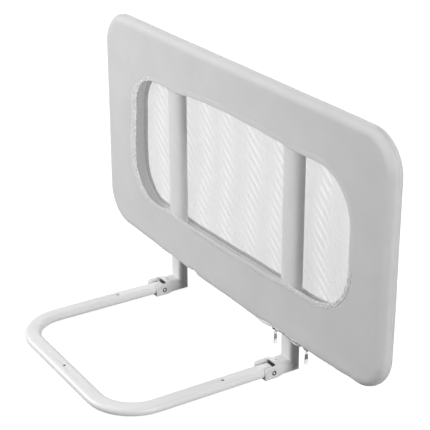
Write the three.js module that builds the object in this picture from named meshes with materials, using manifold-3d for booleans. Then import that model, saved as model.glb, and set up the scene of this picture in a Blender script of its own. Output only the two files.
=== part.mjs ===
import * as THREE from 'three';
import { mergeVertices } from 'three/addons/utils/BufferGeometryUtils.js';
import Module from 'manifold-3d';

const wasm = await Module();
wasm.setup();

// A folding bed guard rail, in millimetres. X runs along the panel, Y points away from the bed and Z is up.
// A U of flat-oval tube lies under the mattress. Two elbow brackets, pinned to its ends, carry the upright panel,
// and the panel folds down over the U. Until the last lines the origin is the middle of the panel's thickness,
// level with the centre line of the base tube.

// Clearances
const seatGap = 0.3;
const slideFit = 0.4;
const cutOverrun = 3;

// Flat-oval steel tube, used for the base and the two uprights
const ovalWidth = 30;
const ovalHeight = 15;
const ovalWall = 1.2;

// Base
const postSpacing = 376;
const baseReach = 343;
const baseBendRadius = 75;
const screwHoleDiameter = 5.5;
const armHoleReach = 138.5;

// Elbow brackets and their hinges
const bracketWall = 2.6;
const postCornerRadius = 8;
const postCavityRadius = 4;
const legAbove = 12.7;
const legBelow = 11;
const earCornerRadius = 2;
const earCavityRadius = 1;
const elbowRadius = 5;
const earBlend = 12;
const hingeReach = 45;
const earReach = 18;
const earTopRadius = 7;
const earHeelRadius = 1.5;
const foldGap = 0.4;
const pinDiameter = 5.6;
const pinRecessDiameter = 8;
const pinRecessDepth = 1.2;
const pinDimpleDiameter = 3;
const pinDimpleDepth = 0.8;
const insertLength = 34;

// Rivet in the top of each elbow
const rivetReach = 30;
const rivetShankDiameter = 2.8;
const rivetHeadDiameter = 5.2;
const rivetHeadHeight = 0.9;

// Panel
const panelLength = 900;
const panelHeight = 440;
const panelCornerRadius = 70;
const panelGround = 55;

// Panel frame: round steel tube, joined by moulded plastic connectors
const frameTubeDiameter = 25;
const frameTubeWall = 1.2;
const connectorLength = 56;
const spigotLength = 22;
const collarWall = 4.6;
const collarDepth = 23;
const collarHeight = 20;
const footOverlap = 42;
const headOverlap = 4;

// Foam sleeve on each upright
const sleeveWidth = 49;
const sleeveDepth = 24;

// Fabric cover, with a net window in each face
const fabricThickness = 1.2;
const hemSag = 8;
const sagHalfRun = 150;
const windowLength = 684;
const windowHeight = 252;
const windowRise = 94;
const windowShift = 14;
const upperRightRadius = 86;
const upperLeftRadius = 75;
const lowerLeftRadius = 62;
const lowerRightRadius = 105;
const bindingWidth = 9;
const leftBindingWidth = 22;
const bindingProud = 0.3;
const bindingThickness = 1.6;
const netThickness = 0.8;
const netHem = 5;
const netPitch = 44;
const netStrand = 3.4;

// Zip along the bottom seam
const zipWidth = 5.4;
const zipDrop = 1.5;
const zipHeight = 2.8;
const zipStart = -78;
const zipEnd = 300;
const zipStopLength = 3;
const zipRowWidth = 1.6;
const zipEyeEase = 1.5;
const looseRowLift = 8;
const leftEyeReach = 85;
const leftSliderPlace = 143;
const rightSliderPlace = 235;

// Zip slider
const sliderLength = 12;
const sliderWidth = 8.2;
const sliderNoseWidth = 5;
const sliderPlate = 1.2;
const bridgeLength = 7.4;
const bridgeWidth = 1.8;
const bridgeLeg = 1.1;
const bridgeOpening = 2.3;
const bridgeBar = 1.2;
const bridgeCornerRadius = 1.1;

// Zip pull
const pullLength = 28;
const pullThickness = 1.4;
const pullEyeWidth = 6.4;
const pullEyeHole = 3.2;
const pullEyeReach = 4.3;
const pullEyeRim = 1.2;
const pullStemWidth = 5.4;
const pullRingDiameter = 7.6;
const pullRingHole = 3.6;

// Facets
const ovalSteps = 8;
const bendSteps = 10;
const frameSides = 12;
const cornerSteps = 8;
const edgeSteps = 4;
const roundSteps = 4;
const holeSides = 16;

// Places worked out from the sizes above
const postPlace = postSpacing / 2;
const ovalFit = bracketWall + slideFit;
const bracketWidth = ovalWidth + 2 * ovalFit;
const bracketDepth = ovalHeight + 2 * ovalFit;
const cavityHalfWidth = ovalWidth / 2 + slideFit;
const cavityHalfDepth = ovalHeight / 2 + slideFit;
const noseRadius = ovalHeight / 2;
const clevisRoot = hingeReach - noseRadius - foldGap;
const earEnd = hingeReach + earReach;
const panelThickness = frameTubeDiameter + 2 * (seatGap + fabricThickness);
const panelHalf = panelThickness / 2;
const panelCentre = panelGround + panelHeight / 2;
const lowerRail = panelGround + panelHalf;
const upperRail = panelGround + panelHeight - panelHalf;
const endRail = panelLength / 2 - panelHalf;
const frameTubeRadius = frameTubeDiameter / 2;
const postTop = lowerRail - frameTubeRadius - slideFit;
const pinHoleDiameter = pinDiameter + 2 * seatGap;
const windowCentre = panelGround + windowRise + windowHeight / 2;
const zipOpening = zipWidth / 2 + seatGap;
const hemSlope = hemSag / (panelLength / 2 - panelCornerRadius - sagHalfRun);
const hemAngle = Math.atan(hemSlope);

// Materials
function finish(colour, roughness, metalness) {
  return new THREE.MeshStandardMaterial({ color: colour, roughness, metalness });
}
const powderCoat = finish(0xe4e4e4, 0.45, 0.1);
const brightSteel = finish(0xc8c8c8, 0.3, 0.9);
const whitePlastic = finish(0xe8e8e6, 0.5, 0);
const whiteFoam = finish(0xe6e6e6, 0.8, 0);
const greyFabric = finish(0xcccccc, 0.9, 0);
const whiteNet = finish(0xf0f0f0, 0.85, 0);

// Turning a flat shape into place: its own x and y become the axes named, and it is extruded along the third
const crosswise = new THREE.Matrix4().makeBasis(
  new THREE.Vector3(0, 1, 0),
  new THREE.Vector3(0, 0, 1),
  new THREE.Vector3(1, 0, 0),
);
const upright = new THREE.Matrix4().makeBasis(
  new THREE.Vector3(1, 0, 0),
  new THREE.Vector3(0, 0, 1),
  new THREE.Vector3(0, -1, 0),
);

// A closed skin through rings of equally many points. A wrapped skin runs on from its last ring to its first, as
// round the wall of an open tube, and any other is capped at both ends.
function skin(rings, wrapped) {
  const count = rings[0].length;
  const bands = wrapped ? rings.length : rings.length - 1;
  const triangles = [];
  for (let band = 0; band < bands; band += 1) {
    const near = band * count;
    const far = ((band + 1) % rings.length) * count;
    for (let i = 0; i < count; i += 1) {
      const next = (i + 1) % count;
      triangles.push([near + i, near + next, far + next]);
      triangles.push([near + i, far + next, far + i]);
    }
  }
  if (!wrapped) {
    const last = bands * count;
    for (let i = 1; i < count - 1; i += 1) {
      triangles.push([0, i + 1, i]);
      triangles.push([last, last + i, last + i + 1]);
    }
  }
  const points = rings.flat();
  let volume = 0;
  for (const [a, b, c] of triangles) {
    volume += points[a].dot(points[b].clone().cross(points[c]));
  }
  const outward = volume > 0 ? triangles : triangles.map(([a, b, c]) => [a, c, b]);
  const geometry = new THREE.BufferGeometry().setFromPoints(points);
  geometry.setIndex(outward.flat());
  return geometry;
}

// Solids that can be joined and cut
function toSolid(geometry) {
  const bare = geometry.clone();
  bare.deleteAttribute('normal');
  bare.deleteAttribute('uv');
  const merged = mergeVertices(bare);
  return new wasm.Manifold(new wasm.Mesh({
    numProp: 3,
    vertProperties: new Float32Array(merged.attributes.position.array),
    triVerts: new Uint32Array(merged.index.array),
  }));
}

function toGeometry(solid) {
  const mesh = solid.getMesh();
  const geometry = new THREE.BufferGeometry();
  geometry.setAttribute('position', new THREE.BufferAttribute(mesh.vertProperties, 3));
  geometry.setIndex(new THREE.BufferAttribute(mesh.triVerts, 1));
  return geometry;
}

function cutFrom(geometry, cutters) {
  let solid = toSolid(geometry);
  for (const cutter of cutters) {
    solid = solid.subtract(toSolid(cutter));
  }
  return toGeometry(solid);
}

function join(geometries) {
  return toGeometry(geometries.map(toSolid).reduce((whole, next) => whole.add(next)));
}

// Closed outlines, as points in a plane
function ovalLoop(width, height) {
  const radius = height / 2;
  const straight = width / 2 - radius;
  const loop = [];
  for (const side of [1, -1]) {
    for (let step = 0; step <= ovalSteps; step += 1) {
      const angle = Math.PI * (step / ovalSteps - 1 / 2);
      const across = side * (straight + radius * Math.cos(angle));
      loop.push(new THREE.Vector2(across, side * radius * Math.sin(angle)));
    }
  }
  return loop;
}

function roundLoop(radius, sides, start = 0) {
  const loop = [];
  for (let side = 0; side < sides; side += 1) {
    const angle = start + 2 * Math.PI * side / sides;
    loop.push(new THREE.Vector2(radius * Math.cos(angle), radius * Math.sin(angle)));
  }
  return loop;
}

function squareLoop(width, height, radius, steps) {
  const loop = [];
  for (let corner = 0; corner < 4; corner += 1) {
    const turn = corner * Math.PI / 2;
    const right = corner === 0 || corner === 3 ? 1 : -1;
    const above = corner < 2 ? 1 : -1;
    const centre = new THREE.Vector2(right * (width / 2 - radius), above * (height / 2 - radius));
    for (let step = 0; step <= steps; step += 1) {
      const angle = turn + step * Math.PI / 2 / steps;
      loop.push(new THREE.Vector2(radius * Math.cos(angle), radius * Math.sin(angle)).add(centre));
    }
  }
  return loop;
}

function prism(loop, depth) {
  return new THREE.ExtrudeGeometry(new THREE.Shape(loop), { depth, bevelEnabled: false });
}

function rod(diameter, length, sides) {
  return new THREE.CylinderGeometry(diameter / 2, diameter / 2, length, sides).rotateZ(Math.PI / 2);
}

// A run of straights with round bends, in one plane, as stations for the rings of a tube
function bentRun(corners, radius, steps) {
  const last = corners.length - 1;
  const heading = (from, to) => corners[to].clone().sub(corners[from]).normalize();
  const stations = [{ at: corners[0], along: heading(0, 1) }];
  for (let i = 1; i < last; i += 1) {
    const before = heading(i - 1, i);
    const turn = Math.atan2(before.cross(heading(i, i + 1)), before.dot(heading(i, i + 1)));
    const setback = radius * Math.tan(Math.abs(turn) / 2);
    const start = corners[i].clone().addScaledVector(before, -setback);
    const inward = new THREE.Vector2(-before.y, before.x).multiplyScalar(Math.sign(turn) * radius);
    const centre = start.clone().add(inward);
    for (let step = 0; step <= steps; step += 1) {
      const angle = turn * step / steps;
      stations.push({
        at: start.clone().rotateAround(centre, angle),
        along: before.clone().rotateAround(new THREE.Vector2(), angle),
      });
    }
  }
  stations.push({ at: corners[last], along: heading(last - 1, last) });
  return stations;
}

function ringsAlong(stations, loop, place) {
  return stations.map(({ at, along }) => loop.map((point) => place(
    at.x - along.y * point.x,
    at.y + along.x * point.x,
    point.y,
  )));
}

function bentTube(stations, outside, inside, place) {
  const outer = ringsAlong(stations, outside, place);
  const inner = ringsAlong(stations, inside, place);
  return skin([...outer, ...inner.reverse()], true);
}

const onFloor = (x, y, rise) => new THREE.Vector3(x, y, rise);
const onPanel = (x, z, depth) => new THREE.Vector3(x, depth, z);

// A straight hollow tube that stands on end
function standingTube(outside, inside, bottom, top) {
  const ringAt = (loop, z) => loop.map((point) => new THREE.Vector3(point.x, point.y, z));
  return skin([ringAt(outside, bottom), ringAt(outside, top), ringAt(inside, top), ringAt(inside, bottom)], true);
}

// What is trimmed off to leave a half-round nose about a hinge pin, seen from the side
function noseTrim(radius) {
  const reach = radius + cutOverrun;
  const outline = new THREE.Shape();
  outline.moveTo(-hingeReach, -reach);
  outline.lineTo(-hingeReach + reach, -reach);
  outline.lineTo(-hingeReach + reach, reach);
  outline.lineTo(-hingeReach, reach);
  outline.absarc(-hingeReach, 0, radius, Math.PI / 2, -Math.PI / 2, true);
  const width = bracketWidth;
  const options = { depth: width, bevelEnabled: false, curveSegments: ovalSteps };
  return new THREE.ExtrudeGeometry(outline, options).applyMatrix4(crosswise).translate(-width / 2, 0, 0);
}

// Base: one bent tube with a moulded insert in each end
function baseTube() {
  const tip = -hingeReach + noseRadius;
  const run = bentRun([
    new THREE.Vector2(-postPlace, tip),
    new THREE.Vector2(-postPlace, -baseReach),
    new THREE.Vector2(postPlace, -baseReach),
    new THREE.Vector2(postPlace, tip),
  ], baseBendRadius, bendSteps);
  const bore = ovalLoop(ovalWidth - 2 * ovalWall, ovalHeight - 2 * ovalWall);
  const tube = bentTube(run, ovalLoop(ovalWidth, ovalHeight), bore, onFloor);
  const screwHole = new THREE.CylinderGeometry(
    screwHoleDiameter / 2,
    screwHoleDiameter / 2,
    ovalHeight,
    holeSides,
  ).rotateX(Math.PI / 2).translate(0, -baseReach, ovalHeight / 2);
  const cutters = [screwHole];
  for (const side of [-1, 1]) {
    cutters.push(noseTrim(noseRadius).translate(side * postPlace, 0, 0));
    cutters.push(rod(pinHoleDiameter, bracketWidth, holeSides).translate(side * postPlace, -hingeReach, 0));
    cutters.push(screwHole.clone().translate(side * postPlace, baseReach - armHoleReach, 0));
  }
  return cutFrom(tube, cutters);
}

function hingeInsert() {
  const wall = ovalWall + seatGap;
  const loop = ovalLoop(ovalWidth - 2 * wall, ovalHeight - 2 * wall);
  const plug = prism(loop, insertLength).applyMatrix4(upright).translate(0, -hingeReach + noseRadius, 0);
  const bore = rod(pinHoleDiameter, bracketWidth, holeSides).translate(0, -hingeReach, 0);
  return cutFrom(plug, [noseTrim(noseRadius - wall), bore]);
}

// Elbow bracket: a hollow post and leg with a mitred corner. Towards its end the leg is squarer, and its top is
// cut away between two ears, so that the pinned tube can swing up. The web left under the tube is the stop.
function elbowRings(width, depth, above, below, postRadius, earRadius) {
  const post = squareLoop(width, depth, postRadius, roundSteps);
  const ear = squareLoop(width, above + below, earRadius, roundSteps);
  const level = (above - below) / 2;
  const legHeight = (y) => level - y * (above + below) / depth;
  return [
    post.map((point) => new THREE.Vector3(point.x, point.y, postTop)),
    post.map((point) => new THREE.Vector3(point.x, point.y, legHeight(point.y))),
    post.map((point) => new THREE.Vector3(point.x, earBlend - clevisRoot, legHeight(point.y))),
    ear.map((point) => new THREE.Vector3(point.x, -clevisRoot, level - point.y)),
    ear.map((point) => new THREE.Vector3(point.x, -earEnd, level - point.y)),
  ];
}

// What is trimmed off a corner of the elbow to round it, seen from the side
function cornerTrim(radius, y, z) {
  const outward = new THREE.Vector2(Math.sign(y), Math.sign(z));
  const centre = new THREE.Vector2(y, z).addScaledVector(outward, -radius);
  const start = Math.atan2(0, outward.x);
  const end = outward.y * Math.PI / 2;
  const outline = new THREE.Shape();
  outline.moveTo(y + outward.x * cutOverrun, centre.y);
  outline.absarc(centre.x, centre.y, radius, start * outward.y, end, outward.x * outward.y < 0);
  outline.lineTo(centre.x, z + outward.y * cutOverrun);
  outline.lineTo(y + outward.x * cutOverrun, z + outward.y * cutOverrun);
  const width = bracketWidth + 2 * cutOverrun;
  const options = { depth: width, bevelEnabled: false, curveSegments: roundSteps };
  return new THREE.ExtrudeGeometry(outline, options).applyMatrix4(crosswise).translate(-width / 2, 0, 0);
}

function swingSlot() {
  const radius = noseRadius + foldGap;
  const outline = new THREE.Shape();
  outline.moveTo(-cavityHalfWidth, -earEnd - cutOverrun);
  outline.lineTo(cavityHalfWidth, -earEnd - cutOverrun);
  outline.absarc(cavityHalfWidth - radius, -hingeReach, radius, 0, Math.PI / 2, false);
  outline.absarc(radius - cavityHalfWidth, -hingeReach, radius, Math.PI / 2, Math.PI, false);
  const options = { depth: legAbove + cutOverrun, bevelEnabled: false, curveSegments: roundSteps };
  return new THREE.ExtrudeGeometry(outline, options);
}

function bracket() {
  const outer = elbowRings(bracketWidth, bracketDepth, legAbove, legBelow, postCornerRadius, earCornerRadius);
  const inner = elbowRings(
    2 * cavityHalfWidth,
    2 * cavityHalfDepth,
    legAbove - bracketWall,
    cavityHalfDepth,
    postCavityRadius,
    earCavityRadius,
  );
  const elbow = skin([...outer, ...inner.reverse()], true);
  const cutters = [
    swingSlot(),
    cornerTrim(earTopRadius, -earEnd, legAbove),
    cornerTrim(earHeelRadius, -earEnd, -legBelow),
    cornerTrim(elbowRadius, bracketDepth / 2, -legBelow),
    rod(pinHoleDiameter, bracketWidth + cutOverrun, holeSides).translate(0, -hingeReach, 0),
    new THREE.CylinderGeometry(
      rivetShankDiameter / 2 + seatGap,
      rivetShankDiameter / 2 + seatGap,
      bracketDepth,
      holeSides,
    ).rotateX(Math.PI / 2).translate(0, -rivetReach, legAbove),
  ];
  for (const side of [-1, 1]) {
    const recess = rod(pinRecessDiameter, 2 * pinRecessDepth, holeSides);
    cutters.push(recess.translate(side * bracketWidth / 2, -hingeReach, 0));
  }
  return cutFrom(elbow, cutters);
}

function hingePin() {
  const half = bracketWidth / 2 - seatGap;
  const floor = half - pinDimpleDepth;
  const profile = [
    new THREE.Vector2(0, -floor),
    new THREE.Vector2(pinDimpleDiameter / 2, -floor),
    new THREE.Vector2(pinDimpleDiameter / 2, -half),
    new THREE.Vector2(pinDiameter / 2, -half),
    new THREE.Vector2(pinDiameter / 2, half),
    new THREE.Vector2(pinDimpleDiameter / 2, half),
    new THREE.Vector2(pinDimpleDiameter / 2, floor),
    new THREE.Vector2(0, floor),
  ];
  const pin = new THREE.LatheGeometry(profile, holeSides).rotateZ(Math.PI / 2);
  return toGeometry(toSolid(pin)).translate(0, -hingeReach, 0);
}

function rivet() {
  const shank = rivetShankDiameter / 2;
  const head = rivetHeadDiameter / 2;
  const profile = [
    new THREE.Vector2(0, -bracketWall - rivetHeadHeight),
    new THREE.Vector2(shank, -bracketWall - rivetHeadHeight),
    new THREE.Vector2(shank, 0),
    new THREE.Vector2(head, 0),
    new THREE.Vector2((head + shank) / 2, rivetHeadHeight),
    new THREE.Vector2(0, rivetHeadHeight),
  ];
  const stud = new THREE.LatheGeometry(profile, holeSides).rotateX(Math.PI / 2);
  return toGeometry(toSolid(stud)).translate(0, -rivetReach, legAbove + seatGap);
}

// Panel frame: connectors with spigots join four round tubes, and hold the uprights in their collars
function connector(facing) {
  const spigotDiameter = frameTubeDiameter - 2 * (frameTubeWall + seatGap);
  const collarWidth = ovalWidth + 2 * (slideFit + collarWall);
  const collar = prism(squareLoop(collarWidth, collarDepth, collarDepth / 2 - collarWall, roundSteps), collarHeight);
  const body = join([
    rod(frameTubeDiameter, connectorLength, frameSides),
    rod(spigotDiameter, connectorLength + 2 * spigotLength, frameSides),
    facing > 0 ? collar : collar.translate(0, 0, -collarHeight),
  ]);
  const slot = ovalLoop(ovalWidth + 2 * slideFit, ovalHeight + 2 * slideFit);
  const depth = frameTubeDiameter + 2 * collarHeight;
  const socket = prism(slot, depth);
  const start = facing > 0 ? -frameTubeDiameter : headOverlap - depth;
  return cutFrom(body, [socket.translate(0, 0, start)]);
}

function sideRail(side) {
  const start = side * (postPlace + connectorLength / 2 + seatGap);
  const run = bentRun([
    new THREE.Vector2(start, upperRail),
    new THREE.Vector2(side * endRail, upperRail),
    new THREE.Vector2(side * endRail, lowerRail),
    new THREE.Vector2(start, lowerRail),
  ], panelCornerRadius - panelHalf, cornerSteps);
  const outside = roundLoop(frameTubeRadius, frameSides);
  return bentTube(run, outside, roundLoop(frameTubeRadius - frameTubeWall, frameSides), onPanel);
}

function middleRail() {
  const length = postSpacing - connectorLength - 2 * seatGap;
  const outside = roundLoop(frameTubeRadius, frameSides);
  const inside = roundLoop(frameTubeRadius - frameTubeWall, frameSides);
  return standingTube(outside, inside, -length / 2, length / 2).rotateY(Math.PI / 2);
}

function uprightTube() {
  const bore = ovalLoop(ovalWidth - 2 * ovalWall, ovalHeight - 2 * ovalWall);
  const head = upperRail + headOverlap - seatGap;
  return standingTube(ovalLoop(ovalWidth, ovalHeight), bore, postTop - footOverlap, head);
}

function foamSleeve() {
  const outside = squareLoop(sleeveWidth, sleeveDepth, sleeveDepth / 2 - seatGap, roundSteps);
  const inside = squareLoop(2 * cavityHalfWidth, 2 * cavityHalfDepth, cavityHalfDepth - seatGap, roundSteps);
  const foot = lowerRail + collarHeight + seatGap;
  return standingTube(outside, inside, foot, upperRail - collarHeight - seatGap);
}

// Cover: each half is a sheet that turns round the frame tube to the seam, with a hem that sags between the ends
function hemAt(x) {
  const past = Math.max(Math.abs(x) - sagHalfRun, 0);
  return panelGround - hemSag + past * hemSlope;
}

// The panel's outline at some depth, with points in its bottom run where the hem's sag begins and ends
function panelLoop(inset, depth) {
  const half = panelHeight / 2 - inset;
  const loop = squareLoop(panelLength - 2 * inset, 2 * half, panelCornerRadius - inset, cornerSteps);
  loop.splice(3 * (cornerSteps + 1), 0, ...[-sagHalfRun, sagHalfRun].map((x) => new THREE.Vector2(x, -half)));
  return loop.map((point) => {
    const low = Math.abs(point.x) <= sagHalfRun && point.y < 0;
    return new THREE.Vector3(point.x, depth, panelCentre + point.y - (low ? hemSag : 0));
  });
}

// The window's outline, grown all round, and further at the left where the binding is wide. It has the same run of
// points as the panel's.
function windowOutline(grow) {
  const widened = THREE.MathUtils.clamp(grow / bindingWidth, 0, 1) * (leftBindingWidth - bindingWidth);
  const half = windowHeight / 2 + grow;
  const right = windowShift + windowLength / 2 + grow;
  const left = windowShift - windowLength / 2 - grow - widened;
  const bends = [upperRightRadius, upperLeftRadius + widened, lowerLeftRadius + widened, lowerRightRadius];
  const loop = [];
  for (const [corner, bend] of bends.entries()) {
    const radius = bend + grow;
    const onRight = corner === 0 || corner === 3;
    const x = onRight ? right - radius : left + radius;
    const z = windowCentre + (corner < 2 ? half - radius : radius - half);
    for (let step = 0; step <= cornerSteps; step += 1) {
      const angle = (corner + step / cornerSteps) * Math.PI / 2;
      loop.push(new THREE.Vector2(x + radius * Math.cos(angle), z + radius * Math.sin(angle)));
    }
  }
  const bottom = windowCentre - half;
  loop.splice(3 * (cornerSteps + 1), 0, ...[-sagHalfRun, sagHalfRun].map((x) => new THREE.Vector2(x, bottom)));
  return loop;
}

function windowLoop(grow, depth) {
  return windowOutline(grow).map((point) => new THREE.Vector3(point.x, depth, point.y));
}

function edgeRings(radius, side) {
  const rings = [];
  for (let step = 0; step <= edgeSteps; step += 1) {
    const angle = step / edgeSteps * Math.PI / 2;
    const inset = panelHalf - radius * Math.cos(angle);
    rings.push(panelLoop(inset, side * Math.max(radius * Math.sin(angle), seatGap / 2)));
  }
  return rings;
}

// The way through the bottom seam: an eye round the left post, closing to a slit for the zip, which opens to
// another eye round the right post
function seamOpening() {
  const slotHalf = bracketWidth / 2 + 2 * slideFit;
  const eye = panelHalf - fabricThickness - seatGap / 6;
  const slit = [
    new THREE.Vector2(-postPlace - slotHalf, eye),
    new THREE.Vector2(leftEyeReach - postPlace, eye),
    new THREE.Vector2(zipStart - zipStopLength - 2 * seatGap, zipOpening),
    new THREE.Vector2(leftSliderPlace + sliderLength / 2, zipOpening),
    new THREE.Vector2(postPlace - slotHalf, eye),
    new THREE.Vector2(postPlace + slotHalf, eye),
    new THREE.Vector2(rightSliderPlace - sliderLength / 2, zipOpening),
    new THREE.Vector2(zipEnd + zipStopLength + 2 * seatGap, zipOpening),
  ];
  const mirrored = slit.map((point) => new THREE.Vector2(point.x, -point.y)).reverse();
  const bottom = panelGround - hemSag - cutOverrun;
  return prism([...slit, ...mirrored], lowerRail - bottom).translate(0, 0, bottom);
}

function coverHalf(side) {
  const outside = edgeRings(panelHalf, side);
  const inside = edgeRings(panelHalf - fabricThickness, side);
  const hole = bindingWidth + seatGap;
  outside.push(windowLoop(hole, side * panelHalf));
  inside.push(windowLoop(hole, side * (panelHalf - fabricThickness)));
  return cutFrom(skin([...outside, ...inside.reverse()], true), [seamOpening()]);
}

function windowBinding(side) {
  const near = side * (panelHalf + bindingProud);
  const far = near - side * bindingThickness;
  const rings = [
    windowLoop(bindingWidth, near),
    windowLoop(0, near),
    windowLoop(0, far),
    windowLoop(bindingWidth, far),
  ];
  return skin(rings, true);
}

// A net of six-sided gaps, cut short at the hem
function windowNet(side) {
  const sheet = prism(windowOutline(-seatGap), netThickness);
  const field = prism(windowOutline(-seatGap - netHem), netThickness + 2 * cutOverrun).translate(0, 0, -cutOverrun);
  const rowPitch = netPitch * Math.sqrt(3) / 2;
  const gapRadius = (netPitch - netStrand) / Math.sqrt(3);
  const rows = Math.floor(windowHeight / 2 / rowPitch) + 1;
  const columns = Math.floor(windowLength / 2 / netPitch) + 1;
  const gaps = [];
  for (let row = -rows; row <= rows; row += 1) {
    for (let column = -columns; column <= columns; column += 1) {
      const x = (column + Math.abs(row % 2) / 2) * netPitch;
      const hexagon = roundLoop(gapRadius, 6, Math.PI / 6).map((point) => point.add(new THREE.Vector2(x, row * rowPitch)));
      gaps.push(new THREE.Shape(hexagon));
    }
  }
  const options = { depth: netThickness + cutOverrun, bevelEnabled: false };
  const punch = new THREE.ExtrudeGeometry(gaps, options).translate(windowShift, windowCentre, -cutOverrun / 2);
  const net = toSolid(sheet).subtract(toSolid(punch).intersect(toSolid(field)));
  const middle = side * (panelHalf - fabricThickness / 2) + netThickness / 2;
  return toGeometry(net).applyMatrix4(upright).translate(0, middle, 0);
}

// Zip: a chain on each side of the right post, and between the sliders a loose row of teeth on each side of it
function zipStrip(from, to) {
  const length = to - from;
  const strip = new THREE.BoxGeometry(length, zipWidth, zipHeight);
  return strip.translate(from + length / 2, 0, zipHeight / 2 - zipDrop);
}

function onHem(geometry, x) {
  const slope = Math.abs(x) > sagHalfRun ? -Math.sign(x) * hemAngle : 0;
  return geometry.rotateY(slope).translate(x, 0, hemAt(x));
}

function zipRow(side) {
  const slotHalf = bracketWidth / 2 + 2 * slideFit;
  const beside = bracketDepth / 2 + slideFit + zipRowWidth / 2;
  const closed = zipWidth / 2 - zipRowWidth / 2;
  const start = leftSliderPlace + sliderLength / 2 + 2 * seatGap;
  const end = rightSliderPlace - sliderLength / 2 - 2 * seatGap;
  const run = bentRun([
    new THREE.Vector2(start, side * closed),
    new THREE.Vector2(start + 2 * zipEyeEase, side * closed),
    new THREE.Vector2(postPlace - slotHalf + zipEyeEase, side * beside),
    new THREE.Vector2(postPlace + slotHalf - zipEyeEase, side * beside),
    new THREE.Vector2(end - 2 * zipEyeEase, side * closed),
    new THREE.Vector2(end, side * closed),
  ], zipEyeEase, 2);
  const section = squareLoop(zipRowWidth, zipHeight, zipRowWidth / 4, 1);
  const place = (x, y, rise) => {
    const opened = Math.min((Math.abs(y) - closed) / (beside - closed - zipRowWidth), 1);
    const lift = looseRowLift * Math.max(opened, 0);
    return new THREE.Vector3(x, y, hemAt(x) + zipHeight / 2 - zipDrop + rise + lift);
  };
  return skin(ringsAlong(run, section, place), false);
}

function slider(facing) {
  const under = -zipDrop - seatGap;
  const plate = new THREE.Shape();
  plate.moveTo(-sliderLength / 2, -sliderWidth / 2);
  plate.lineTo(sliderLength / 6, -sliderWidth / 2);
  plate.lineTo(sliderLength / 2, -sliderNoseWidth / 2);
  plate.lineTo(sliderLength / 2, sliderNoseWidth / 2);
  plate.lineTo(sliderLength / 6, sliderWidth / 2);
  plate.lineTo(-sliderLength / 2, sliderWidth / 2);
  const floor = new THREE.ExtrudeGeometry(plate, { depth: sliderPlate, bevelEnabled: false });
  floor.translate(0, 0, under - sliderPlate);
  const cheek = (sliderWidth - zipWidth) / 2 - seatGap;
  const cheekHeight = zipDrop - seatGap + sliderPlate / 2;
  const cheekLength = sliderLength / 2;
  const pieces = [floor];
  for (const side of [-1, 1]) {
    const wall = new THREE.BoxGeometry(cheekLength, cheek, cheekHeight);
    const y = side * (sliderWidth - cheek) / 2;
    pieces.push(wall.translate(-sliderLength / 6, y, under - sliderPlate / 2 + cheekHeight / 2));
  }
  const drop = bridgeOpening + bridgeBar;
  const arch = squareLoop(bridgeLength, 2 * drop, bridgeCornerRadius, roundSteps);
  const gap = squareLoop(bridgeLength - 2 * bridgeLeg, 2 * bridgeOpening, bridgeCornerRadius / 2, roundSteps);
  const lower = arch.filter((point) => point.y < 0);
  const upper = gap.filter((point) => point.y < 0).reverse();
  const rim = sliderPlate / 2;
  const bow = new THREE.Shape([
    new THREE.Vector2(-bridgeLength / 2, rim),
    ...lower,
    new THREE.Vector2(bridgeLength / 2, rim),
    new THREE.Vector2(bridgeLength / 2 - bridgeLeg, rim),
    ...upper,
    new THREE.Vector2(bridgeLeg - bridgeLength / 2, rim),
  ]);
  const bridge = new THREE.ExtrudeGeometry(bow, { depth: bridgeWidth, bevelEnabled: false });
  bridge.applyMatrix4(upright).translate(0, bridgeWidth / 2, under - sliderPlate);
  pieces.push(bridge);
  const whole = join(pieces);
  return facing > 0 ? whole : whole.rotateZ(Math.PI);
}

const pullPivot = -zipDrop - seatGap - sliderPlate - bridgeOpening / 2;

function pull() {
  const top = pullEyeRim / 2;
  const eyeHalf = pullEyeWidth / 2;
  const stemTop = -pullEyeReach - pullEyeRim;
  const ringCentre = top - pullLength + pullRingDiameter / 2;
  const outline = new THREE.Shape();
  outline.moveTo(-pullStemWidth / 2, ringCentre);
  outline.absarc(0, ringCentre, pullRingDiameter / 2, Math.PI, 2 * Math.PI, false);
  outline.lineTo(pullStemWidth / 2, stemTop + ringCentre / pullLength);
  outline.lineTo(eyeHalf, stemTop + eyeHalf);
  outline.lineTo(eyeHalf, top - pullEyeRim);
  outline.lineTo(eyeHalf - pullEyeRim, top);
  outline.lineTo(pullEyeRim - eyeHalf, top);
  outline.lineTo(-eyeHalf, top - pullEyeRim);
  outline.lineTo(-eyeHalf, stemTop + eyeHalf);
  outline.lineTo(-pullStemWidth / 2, stemTop + ringCentre / pullLength);
  const eyeLength = pullEyeReach - pullEyeRim / 2;
  const eye = squareLoop(pullEyeHole, eyeLength, pullEyeHole / 4, roundSteps);
  const shifted = eye.map((point) => new THREE.Vector2(point.x, point.y - pullEyeRim / 2 - eyeLength / 2));
  outline.holes.push(new THREE.Path(shifted));
  const ringHole = roundLoop(pullRingHole / 2, 2 * roundSteps);
  outline.holes.push(new THREE.Path(ringHole.map((point) => new THREE.Vector2(point.x, point.y + ringCentre))));
  const options = { depth: pullThickness, bevelEnabled: false, curveSegments: ovalSteps };
  const tab = new THREE.ExtrudeGeometry(outline, options).applyMatrix4(crosswise);
  return tab.translate(-pullThickness / 2, 0, pullPivot);
}

// Assembly
const guardRail = new THREE.Group();

function add(name, geometry, material, x = 0, y = 0, z = 0) {
  const mesh = new THREE.Mesh(geometry, material);
  mesh.name = name;
  mesh.position.set(x, y, z);
  guardRail.add(mesh);
}

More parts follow.
